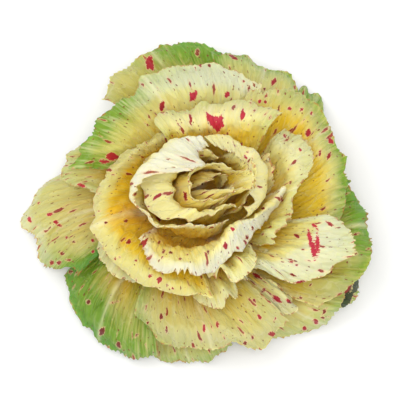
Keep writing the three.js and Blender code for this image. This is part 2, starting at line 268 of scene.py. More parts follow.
LEAVES = (
    heart("bud_leaf_front", 0, 195, 372, 64, turn=40, seat=0.9),
    heart("bud_leaf_back", 0, 22, 186, 58, turn=20, seat=0.95),
    heart("heart_leaf_right", 1, -72, 84, 73, turn=20, seat=0.4),
    heart(
        "heart_leaf_left", 1, 92, 278, (68, 64, 61, 62, 66), turn=60, seat=(0.4, 0.7, 0.8, 0.75, 0.4),
        flap=(6, 10, 11, 10, 6), bend=8, spill=0.1, wave=1.2, waves=4, pleat=1.6,
    ),
    heart(
        "heart_leaf_front", 2, 152, 316, (60, 57, 57, 60, 64), turn=80, seat=(0.2, 0.1, 0.1, 0.15, 0.25),
        flap=(18, 25, 24, 18, 10), bend=15, spill=0.75, wave=1.2, waves=7, pleat=2.0,
    ),
    heart("heart_leaf_east", 2, -38, 80, 70, turn=30, seat=0.6),
    heart(
        "heart_leaf_west", 2, 88, 148, (66, 64, 62, 60, 58), turn=75, seat=(0.3, 0.3, 0.35, 0.4, 0.4),
        flap=(6, 9, 12, 14, 14), bend=12, spill=0.5, wave=1.2, pleat=1.6,
    ),
    Leaf(
        "hood_leaf_right", 3, -32, 96, (70, 76, 77, 77, 75), (12, 19, 21, 19, 10), turn=-112, spill=-1.4,
        wave=0.8, seat=(0.75, 0.6, 0.5, 0.5, 0.5), golden=0.75, pale=0.25, painted_shade=0.14,
    ),
    Leaf(
        "hood_leaf_left", 3, 100, 302, (75, 77, 74, 74, 69), (14, 24, 4, 3, 4), turn=-78, slant=60,
        spill=-1.4, wave=0.8, seat=(0.5, 0.5, 0.78, 0.92, 0.85), pale=1.0,
    ),
    Leaf(
        "collar_leaf_front", 4, 222, 362, (72, 87, 95, 82, 76, 73, 69, 67, 74),
        (4, 4, 6, 16, 24, 22, 18, 12, 4), turn=105, slant=15, bend=5, spill=0.4, wave=0.8,
        seat=(0.7, 0.9, 1.3, 0.75, 0.4, 0.2, 0.1, 0.2, 0.7), golden=0.5, pale=1.0,
    ),
    Leaf(
        "rose_leaf_back", 4, 40, 128, (86, 79, 72, 72, 70), (14, 24, 24, 20, 10), turn=100, bend=12,
        spill=0.8, wave=1.8, seat=(0.9, 0.5, 0.05, 0.05, 0.3), green=0.25, golden=0.85, pale=0.25,
    ),
    Leaf("collar_leaf_right", 4, 4, 36, 66, flap=6, turn=40, seat=0.6),
    Leaf("collar_leaf_left", 4, 136, 214, 50, flap=6, wave=1.5),
    Leaf(
        "rose_leaf_left", 5, 126, 275, (50, 64, 80, 85, 88), (14, 13, 9, 12, 6), turn=85, wave=1.8,
        seat=(0.05, 0.05, 0.3, 0.4, 0.9), golden=0.9, pale=0.2, painted_shade=0.3,
    ),
    Leaf(
        "rose_leaf_right", 5, -38, 38, (68, 74, 75, 76, 68), (4, 5, 8, 24, 20), turn=60, spill=0.3, wave=3,
        seat=(0.5, 0.35, 0.15, 0.2, 0.1), green=0.15,
    ),
    Leaf("rose_leaf_front", 5, 266, 317, 72, flap=10, seat=(0.15, 0.4, 0.7, 0.7, 0.6)),
    Leaf("rose_leaf_hidden", 5, 44, 120, 58, flap=6, seat=0.4),
    Leaf(
        "open_leaf_back", 6, 60, 168, (76, 77, 78, 79, 84), (20, 24, 22, 15, 14), turn=65, bend=14,
        seat=(0.9, 0.2, 0.1, 0.1, 0.3), green=(0.0, 0.1, 0.3, 0.66, 0.58), greenward=32, golden=0.35,
        pale=1.0,
    ),
    Leaf(
        "open_leaf_right", 6, -20, 66, (88, 95, 90, 89, 76), (12, 14, 14, 12, 12), wave=4,
        seat=(0.9, 0.6, 0.4, 0.3, 0.12), pleat=1.8, green=(0.5, 0.6, 0.5, 0.3, 0.1), greenward=17,
        grooved=0.3, golden=0.9, painted_shade=0.35,
    ),
    Leaf(
        "open_leaf_front_right", 6, 298, 346, (56, 62, 76, 86, 88), (8, 16, 34, 34, 10), turn=40, bend=12,
        spill=0.2, wave=2.5, seat=(0.2, 0.1, 0.2, 0.2, 0.1), green=0.1, pale=1.0,
    ),
    Leaf("open_leaf_front", 6, 266, 297, 72, flap=10, seat=0.6),
    Leaf("open_leaf_front_left", 6, 196, 264, 68, flap=8, wave=2),
    Leaf(
        "outer_leaf_back", 7, 75, 132, (92, 97, 95, 93, 87), (10, 12, 12, 12, 10), turn=50,
        green=(1.0, 0.9, 0.5, 0.15, 0.2), greenward=34, painted_shade=0.4,
    ),
    Leaf(
        "outer_leaf_back_right", 7, 40, 82, (84, 96, 89, 94, 93), (10, 14, 14, 14, 10), turn=70, wave=4,
        green=(0.6, 0.5, 0.45, 0.5, 0.65), greenward=20,
    ),
    Leaf(
        "outer_leaf_right", 7, -48, 14, (97, 108, 101, 93, 87), (12, 14, 14, 12, 10), waves=5,
        seat=(0.8, 0.4, 0.2, 0.2, 0.2), pleat=2.2, green=(0.0, 0.5, 0.75, 0.75, 0.65), greenward=32,
        grooved=0.45, golden=0.8, painted_shade=0.4,
    ),
    Leaf("outer_leaf_front_right", 7, 300, 311, (66, 76, 80, 82, 74), (14, 18, 20, 20, 14), turn=50),
    Leaf(
        "outer_leaf_front", 7, 240, 303, (74, 86, 87, 93, 84), (16, 18, 18, 20, 16), wave=4,
        green=(0.4, 0.2, 0.1, 0.1, 0.1), greenward=20, painted_shade=0.22,
    ),
    Leaf("outer_leaf_front_left", 7, 198, 244, 70, flap=8),
    Leaf("outer_leaf_left_tip", 7, 146, 179, (62, 82, 86, 82, 66), flap=10, green=0.2),
    Leaf(
        "base_leaf_front_left", 8, 204, 251, (90, 95, 98, 100, 94), (14, 16, 18, 16, 12), wave=3.5,
        green=(1.0, 1.0, 0.9, 0.7, 0.5), greenward=50,
    ),
    Leaf("base_leaf_front", 8, 244, 280, (92, 98, 94, 93, 90), flap=10, wave=2, green=0.4),
    Leaf(
        "base_leaf_front_right", 8, 284, 334, (92, 90, 104, 109, 98), flap=12, wave=4,
        green=(0.2, 0.2, 0.3, 0.6, 0.8), greenward=22, grooved=0.3,
    ),
    Leaf("base_leaf_right", 8, -32, 24, 88, flap=10, green=0.6, greenward=30),
    Leaf("base_leaf_back_right", 8, 18, 58, (76, 90, 102, 92, 76), flap=10, green=0.62, greenward=30),
    Leaf("base_leaf_back", 8, 52, 112, 86, flap=10, green=0.8, greenward=30),
    Leaf("base_leaf_back_left", 8, 106, 168, 76, flap=10, green=0.8, greenward=30),
    Leaf(
        "base_leaf_left", 8, 162, 210, (80, 106, 101, 95, 88), flap=12, turn=40, wave=3.5,
        green=(0.1, 0.1, 0.1, 0.4, 1.0), greenward=24, golden=0.2, pale=1.0, painted_shade=0.1,
    ),
)


@dataclass(frozen=True)
class Cut:
    """One size of cut in a leaf's edge: its depth, its width and how fast it fades away from the edge."""

    depth: float
    width: float
    fade: int


@dataclass(frozen=True)
class Growth:
    """How every blade grows in its layer, in millimetres.

    margin is the share of a layer that a leaf keeps clear at either side, and root_seat its seat at the
    root. waist is how narrow a leaf is at its root, and the share of its length that widens. ruffle is the
    size and the pace of the second wave, and the power by which waves grow towards the edge. The blade
    thins from blade to edge_blade over thinning. The rib fades along the leaf from the first length of
    rib_fade over the second, and it is rib_heart of its height in the heart and full from the layer
    rib_full on.
    """

    margin: float = 0.08
    thinnest_slot: float = 3.0
    root_seat: float = 0.22
    waist: tuple[float, float] = (0.62, 0.4)
    crest_loss: float = 0.22
    flap_loss: float = 0.55
    ruffle: tuple[float, float, float] = (0.6, 0.43, 3.0)
    spill_length: float = 8.0
    least_turn: float = 0.02
    sink: float = 1.2
    sink_share: float = 0.04
    blade: float = 0.8
    edge_blade: float = 0.45
    thinning: float = 10.0
    rib_height: float = 1.9
    rib_width: float = 5.5
    rib_fade: tuple[float, float] = (12.0, 78.0)
    rib_heart: float = 0.35
    rib_full: float = 5.0
    cell_across: float = 0.95
    cell_along: float = 1.3


@dataclass(frozen=True)
class Relief:
    """The fine shape of every blade, in millimetres.

    A pair is the height and the width of the form, and curl is also how far it reaches in from the edge.
    The long sizes are how slowly a form changes along the leaf. The rows are where in the noise each form
    is drawn.
    """

    lobe: Cut = Cut(5.0, 17.0, 5)
    bite: Cut = Cut(4.4, 8.0, 8)
    tooth: Cut = Cut(2.6, 4.0, 22)
    tooth_tip: float = 0.35
    tooth_group: float = 9.0
    pleat_height: float = 2.4
    pleat_width: float = 7.5
    pleat_long: float = 90.0
    pleat_growth: float = 1.5
    crinkle: tuple[float, float] = (1.25, 6.5)
    crinkle_long: float = 1.6
    small_crinkle: tuple[float, float, float] = (0.5, 2.1, 1.2)
    curl: tuple[float, float, float] = (1.6, 8.0, 10.0)
    curl_long: float = 30.0
    dent: tuple[float, float] = (2.4, 26.0)
    vein_spacing: float = 13.0
    vein_slope: float = 1.25
    vein_meander: tuple[float, float, float] = (0.35, 14.0, 20.0)
    vein_groove: tuple[float, float] = (0.22, 0.9)
    vein_lean: float = 1.6
    groove_spacing: float = 4.2
    groove_gather: float = 90.0
    groove_meander: tuple[float, float, float] = (0.4, 2.5, 30.0)
    start: float = 0.4
    dent_start: float = 0.5
    lobe_row: float = 3.3
    bite_row: float = 9.7
    jitter_row: float = 5.1
    group_row: float = 1.7
    curl_row: float = 4.4
    crinkle_row: float = 7.0
    dent_row: float = 2.0


GROWTH = Growth()
RELIEF = Relief()


class Blade:
    """The surface of one leaf, as a formula of u, from -1 to 1 across it, and v, from 0 at the root to 1."""

    STEP = 0.003
    SAMPLES = 200
    BROADEST = 0.9
    BROADEST_SHARE = 0.96

    def __init__(self, leaf: Leaf, seed: int) -> None:
        """Measure the leaf and draw its own relief from a seed."""
        self.leaf = leaf
        self.seed = seed
        self.coarse = Noise(seed * 7 + 1)
        self.fine = Noise(seed * 7 + 2)
        self.breadth = 1.0
        u = np.linspace(-1.0, 1.0, self.SAMPLES)
        self.breadth = self._measure(u, np.full_like(u, self.BROADEST)) / self.BROADEST_SHARE
        self.length = self._measure(np.zeros_like(u), (u + 1.0) / 2.0)

    def _measure(self, u: Array, v: Array) -> float:
        """Return the length of the line through places of the blade."""
        return float(np.linalg.norm(np.diff(self.points(u, v), axis=0), axis=1).sum())

    def runs(self, u: Array) -> tuple[Array, Array]:
        """Return the lengths of the wall and of the flap past the fold at u."""
        wall = across(self.leaf.crest, u, GROWTH.crest_loss) - CUPS.root
        return wall, across(self.leaf.flap, u, GROWTH.flap_loss)

    def edge(self, u: Array, v: Array) -> Array:
        """Return how far lobes, bites and teeth move points along the leaf.

        Args:
            u: Places across the leaf.
            v: Places along the leaf.

        Returns:
            One length for each place.
        """
        x = u * self.breadth / 2.0
        lobe, bite, tooth = RELIEF.lobe, RELIEF.bite, RELIEF.tooth
        wide = lobe.depth * self.coarse(x / lobe.width, RELIEF.lobe_row) * v**lobe.fade
        middle = bite.depth * self.coarse(x / bite.width, RELIEF.bite_row) * v**bite.fade
        jitter = self.fine(x / tooth.width / 2.0, RELIEF.jitter_row)
        saw = (x / tooth.width + jitter) % 1.0
        spike = np.maximum(0.0, 1.0 - 3.0 * np.abs(saw - RELIEF.tooth_tip))
        uneven = 0.6 + 0.6 * self.fine(x / RELIEF.tooth_group, RELIEF.group_row)
        sharp = tooth.depth * uneven * spike * v**tooth.fade
        return self.leaf.ragged * (wide + middle + sharp)

    def relief(self, u: Array, v: Array, run: Array) -> Array:
        """Return the height of crinkles, vein grooves, ridges and the curled edge, towards the heart.

        Args:
            u: Places across the leaf.
            v: Places along the leaf.
            run: How far each place is along the leaf.

        Returns:
            One height for each place.
        """
        x = u * self.breadth / 2.0
        height, width = RELIEF.crinkle
        share, finer_across, finer_along = RELIEF.small_crinkle
        bulge = self.fine(x / width, run / width / RELIEF.crinkle_long)
        finer = self.fine(x / width * finer_across, run / width * finer_along + RELIEF.crinkle_row)
        amount, ripple, reach = RELIEF.curl
        rim = ease(1.0 - (1.0 - v) * self.length / reach)
        curl = amount * rim * self.coarse(x / ripple, run / RELIEF.curl_long + RELIEF.curl_row)
        ridge = self.leaf.grooved * self.ridge(u, run)
        inner = height * (bulge + share * finer) - self.vein(x, run) + ridge
        return ease(v / RELIEF.start) * inner + curl

    def vein(self, x: Array, run: Array) -> Array:
        """Return the depth of the grooves of the side veins, which slope up from the rib.

        Args:
            x: How far each place is from the rib.
            run: How far it is along the leaf.

        Returns:
            One depth for each place.
        """
        amount, wide, long = RELIEF.vein_meander
        depth, half = RELIEF.vein_groove
        path = (run - RELIEF.vein_slope * np.abs(x)) / RELIEF.vein_spacing
        path = path + amount * self.coarse(x / wide, run / long)
        off = np.abs(path - np.round(path)) * RELIEF.vein_spacing / RELIEF.vein_lean
        return depth * bell(off, half)

    def ridge(self, u: Array, run: Array) -> Array:
        """Return the fine ridges along the leaf, which gather at its root.

        Args:
            u: Places across the leaf.
            run: How far each place is along the leaf.

        Returns:
            Values from -1 in a groove to 1 on a ridge.
        """
        gathered = 0.5 + 0.5 * ease(run / RELIEF.groove_gather)
        x = u * self.breadth / 2.0 * gathered / RELIEF.groove_spacing
        amount, wide, long = RELIEF.groove_meander
        return np.cos(2.0 * np.pi * (x + amount * self.coarse(x / wide, run / long)))

    def points(self, u: Array, v: Array) -> Array:
        """Return points of the blade in millimetres.

        Args:
            u: Places across the leaf.
            v: Places along the leaf.

        Returns:
            One point for each place.
        """
        leaf = self.leaf
        narrow = mix(GROWTH.waist[0], 1.0, ease(v / GROWTH.waist[1]))
        theta = np.radians((leaf.start + leaf.stop) / 2.0 + (leaf.stop - leaf.start) / 2.0 * u * narrow)
        wall, flap = self.runs(u)
        run = v * (wall + flap) + self.edge(u, v)
        past = np.maximum(0.0, run - wall)
        along, out = self.fold(past, np.radians(leaf.turn + leaf.slant * u))
        sunk = GROWTH.sink * (1.0 - ease(v / GROWTH.sink_share))
        rho = CUPS.root + np.minimum(run, wall) + along - sunk
        slot = np.maximum(GROWTH.thinnest_slot, rho * math.radians(CUPS.outer_rim_angle) / CUPS.layers)
        moved = out + self.waves(u, v, run)
        settled = mix(GROWTH.root_seat, across(leaf.seat, u), ease(v / GROWTH.waist[1]))
        held = self.hold(settled + moved / slot, leaf.spill * ease(past / GROWTH.spill_length))
        return CUPS.place(CUPS.angle(leaf.layer + held, theta, rho), theta, rho)

    def waves(self, u: Array, v: Array, run: Array) -> Array:
        """Return how far waves, pleats and dents move points outwards.

        Args:
            u: Places across the leaf.
            v: Places along the leaf.
            run: How far each place is along the leaf.

        Returns:
            One length for each place.
        """
        leaf = self.leaf
        x = u * self.breadth / 2.0
        phase = leaf.start + leaf.layer
        swing = np.pi * leaf.waves * u
        second, pace, power = GROWTH.ruffle
        ruffle = np.sin(swing + phase) + second * np.sin(swing * pace - phase)
        pleats = self.coarse(x / RELIEF.pleat_width, run / RELIEF.pleat_long) * v**RELIEF.pleat_growth
        depth, wide = RELIEF.dent
        dents = self.fine(x / wide + RELIEF.dent_row, run / wide) * ease(v / RELIEF.dent_start)
        return leaf.wave * v**power * ruffle + leaf.pleat * RELIEF.pleat_height * pleats + depth * dents

    def fold(self, length: Array, turn: Array) -> tuple[Array, Array]:
        """Return where the rim gets to when it has run a length past the fold.

        Args:
            length: How far the rim has run.
            turn: How far the fold turns it outwards, in radians.

        Returns:
            How far it has gone on, and how far outwards.
        """
        turn = np.where(np.abs(turn) < GROWTH.least_turn, GROWTH.least_turn, turn)
        radius = self.leaf.bend / turn
        bent = np.minimum(length, self.leaf.bend) / radius
        straight = np.maximum(0.0, length - self.leaf.bend)
        along = radius * np.sin(bent) + straight * np.cos(turn)
        return along, radius * (1.0 - np.cos(bent)) + straight * np.sin(turn)

    @staticmethod
    def hold(seat: Array, spill: Array) -> Array:
        """Hold places inside their layer.

        Args:
            seat: Where in the layer each place would lie.
            spill: How far past the layer it may lie, inwards below 0 and outwards above.

        Returns:
            Where each place lies.
        """
        low = GROWTH.margin + np.minimum(0.0, spill)
        high = 1.0 - GROWTH.margin + np.maximum(0.0, spill)
        middle, reach = (low + high) / 2.0, (high - low) / 2.0
        return middle + reach * np.tanh((seat - middle) / reach)

    def normals(self, u: Array, v: Array) -> Array:
        """Return the directions from the blade towards the outside of the head.

        Args:
            u: Places across the leaf.
            v: Places along the leaf.

        Returns:
            One direction for each place.
        """
        step = self.STEP
        sideways = self.points(u + step, v) - self.points(u - step, v)
        along = self.points(u, np.minimum(1.0, v + step)) - self.points(u, np.maximum(0.0, v - step))
        out = np.cross(sideways, along)
        return out / np.maximum(1e-9, np.linalg.norm(out, axis=1, keepdims=True))

    def thickness(self, u: Array, v: Array) -> Array:
        """Return the thickness of the blade, thin at its edge and thick along its rib.

        Args:
            u: Places across the leaf.
            v: Places along the leaf.

        Returns:
            One thickness for each place.
        """
        wall, _ = self.runs(np.zeros_like(u))
        run = v * wall
        start, end = GROWTH.rib_fade
        fade = 1.0 - ease((run - start) / end)
        sideways = math.radians(self.leaf.stop - self.leaf.start) * 0.5 * u * (CUPS.root + run / 2.0)
        size = mix(GROWTH.rib_heart, 1.0, ease(self.leaf.layer / GROWTH.rib_full))
        blade = mix(GROWTH.edge_blade, GROWTH.blade, ease((1.0 - v) * self.length / GROWTH.thinning))
        return blade + GROWTH.rib_height * size * fade * bell(sideways, GROWTH.rib_width)


class Mesher:
    """Small steps of modelling that every piece shares."""

    @staticmethod
    def clear() -> None:
        """Deselect everything."""
        for other in list(bpy.context.selected_objects):
            other.select_set(False)

    @classmethod
    def only(cls, piece: bpy.types.Object) -> None:
        """Select one piece and make it the active one.

        Args:
            piece: The piece.
        """
        cls.clear()
        piece.select_set(True)
        bpy.context.view_layer.objects.active = piece

    @staticmethod
    def read(piece: bpy.types.Object) -> Array:
        """Return the points of a piece's mesh.

        Args:
            piece: The piece.

        Returns:
            One row for each point.
        """
        points = np.empty(len(piece.data.vertices) * 3)
        piece.data.vertices.foreach_get("co", points)
        return points.reshape(-1, 3)

    @staticmethod
    def write(piece: bpy.types.Object, points: Array) -> None:
        """Move the points of a piece's mesh."""
        piece.data.vertices.foreach_set("co", points.ravel())
        piece.data.update()

    @staticmethod
    def attribute(piece: bpy.types.Object, name: str, values: Array) -> None:
        """Keep one number for each point of a piece's mesh."""
        layer = piece.data.attributes.new(name, "FLOAT", "POINT")
        layer.data.foreach_set("value", np.asarray(values, np.float32))

    @classmethod
    def apply(cls, piece: bpy.types.Object, modifier: bpy.types.Modifier) -> None:
        """Apply one modifier of a piece."""
        cls.only(piece)
        bpy.ops.object.modifier_apply(modifier=modifier.name)


@dataclass(frozen=True)
class Zones:
    """Where the colours of a leaf lie on it, in millimetres, or as shares of the way up to its fold."""

    sides_start: float = 0.5
    far_inside: float = 60.0
    gold_end: float = 1.05
    rib_root: float = 9.0
    rib_tip: float = 1.5
    rib_length: float = 70.0
    rib_loss: float = 0.6
    pale_start: float = 1.0
    pale_fade: float = 6.0
    pale_margin: float = 9.0
    # deep_start and deep_fade place the painted shade deep in the head: brown towards the leaf's root, fading
    # out up the wall.
    deep_start: float = 0.3
    deep_fade: float = 0.4


@dataclass
class LeafPiece:
    """A leaf on its way from a flat grid to a finished blade."""

    leaf: Leaf
    seed: int
    zones: Zones = Zones()
    piece: bpy.types.Object = field(init=False)
    places: Array = field(init=False)
    blade: Blade = field(init=False)

    FEWEST_CELLS = 16
    SHADE_ANGLE = 50.0
    UV_SPAN = 100.0
    UV_SHIFT = 0.37

    def grow(self) -> None:
        """Add a grid, wrap it round its cup and give it its relief."""
        self.blade = Blade(self.leaf, self.seed)
        columns = max(self.FEWEST_CELLS, round(self.blade.breadth / GROWTH.cell_across))
        rows = max(self.FEWEST_CELLS, round(self.blade.length / GROWTH.cell_along))
        Mesher.clear()
        bpy.ops.mesh.primitive_grid_add(x_subdivisions=columns, y_subdivisions=rows, size=2.0, calc_uvs=False)
        self.piece = bpy.context.active_object
        self.piece.name = self.leaf.name + "_blade"
        flat = Mesher.read(self.piece)
        u, v = flat[:, 0], (flat[:, 1] + 1.0) / 2.0
        self.places = np.stack([u, v], -1)
        wall, flap = self.blade.runs(u)
        run = v * (wall + flap)
        outward = self.blade.normals(u, v)
        relief = self.blade.relief(u, v, run)[:, None]
        points = self.blade.points(u, v) - outward * (relief + GROWTH.blade / 2.0)
        Mesher.write(self.piece, points * MM)
        self._mark(u, v, wall, flap)
        self._unwrap(u, run)

    def _mark(self, u: Array, v: Array, wall: Array, flap: Array) -> None:
        """Keep on each point what the skin reads there.

        green is the green margin, gold the golden wall, which is partly painted shade, rib the pale rib, edge
        the distance from the edge, pale the pale rim, the painted shade an olive darkening on leaves that lie
        away from the light, and deep the painted shade deep in the head towards the root. patch, blush and
        dark wait for the flecks.

        Args:
            u: Places across the leaf.
            v: Places along the leaf.
            wall: The length of the wall at each place.
            flap: The length of the flap past the fold there.
        """
        leaf, zones = self.leaf, self.zones
        run = v * (wall + flap)
        grown = ease(v / zones.sides_start)
        side = np.maximum(0.0, 1.0 - np.abs(u)) * self.blade.breadth / 2.0 * grown
        rim = np.maximum(0.0, 1.0 - v) * (wall + flap)
        edge = np.minimum(rim, side + zones.far_inside * (1.0 - grown))
        width = mix(zones.rib_root, zones.rib_tip, ease(run / zones.rib_length))
        rib = bell(u * self.blade.breadth / 2.0, width) * (1.0 - zones.rib_loss * ease(run / wall))
        flap_pale = ease((run - wall - zones.pale_start) / zones.pale_fade)
        pale = np.maximum(flap_pale, 1.0 - ease(edge / zones.pale_margin))
        marks = {
            "green": np.clip(across(leaf.green, u), 0.0, 1.0) * (1.0 - ease(edge / leaf.greenward)),
            # Gold up the wall to the fold: partly the leaf's own yellow, partly painted shade on the wall.
            "gold": 1.0 - ease((run / wall - leaf.golden) / (zones.gold_end - leaf.golden)),
            "rib": rib,
            "edge": edge,
            "pale": pale * leaf.pale,
            # Painted shade for leaves that lie away from the light.
            "painted_shade": np.full(len(u), leaf.painted_shade),
            # Painted shade deep in the head, strongest towards the root.
            "deep": 1.0 - ease((run / wall - zones.deep_start) / zones.deep_fade),
            "patch": np.full(len(u), -1.0),
            "blush": np.zeros(len(u)),
            "dark": np.zeros(len(u)),
        }
        for name, values in marks.items():
            Mesher.attribute(self.piece, name, values)

    def _unwrap(self, u: Array, run: Array) -> None:
        """Lay the leaf out flat at its real size, a little further on for each leaf.

        Args:
            u: Places across the leaf.
            run: How far each place is along the leaf.
        """
        mesh = self.piece.data
        layer = mesh.uv_layers.new(name="Leaf")
        corners = np.empty(len(mesh.loops), np.int32)
        mesh.loops.foreach_get("vertex_index", corners)
        flat = np.stack([u * self.blade.breadth / 2.0, run], -1) / self.UV_SPAN
        flat[:, 0] += self.UV_SHIFT * self.seed
        layer.uv.foreach_set("vector", flat[corners].astype(np.float32).ravel())

    def finish(self, skin: bpy.types.Material) -> bpy.types.Object:
        """Give the blade its thickness and its skin, and put it in its node's place.

        Args:
            skin: The material of the leaf's kind.

        Returns:
            The finished piece.
        """
        u, v = self.places[:, 0], self.places[:, 1]
        thickness = self.blade.thickness(u, v)
        most = float(thickness.max())
        group = self.piece.vertex_groups.new(name="thickness")
        for index, share in enumerate(thickness / most):
            group.add([index], float(share), "REPLACE")
        wall = self.piece.modifiers.new("Wall", "SOLIDIFY")
        wall.thickness = most * MM
        wall.offset = 1.0
        wall.vertex_group = group.name
        Mesher.apply(self.piece, wall)
        self.piece.vertex_groups.clear()
        self.piece.data.materials.append(skin)
        Mesher.only(self.piece)
        bpy.ops.object.shade_smooth_by_angle(angle=math.radians(self.SHADE_ANGLE))
        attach(self.piece, "root")
        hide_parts(self.leaf.name)
        return self.piece


@dataclass(frozen=True)
class Fleck:
    """A mark placed by the pixels of the photograph where it starts and ends, and its width in pixels.

    blush is how far its crimson turns to pink, and dark how far it turns to black.
    """

    start: tuple[float, float]
    stop: tuple[float, float]
    width: float
    blush: float = 0.3
    dark: float = 0.0


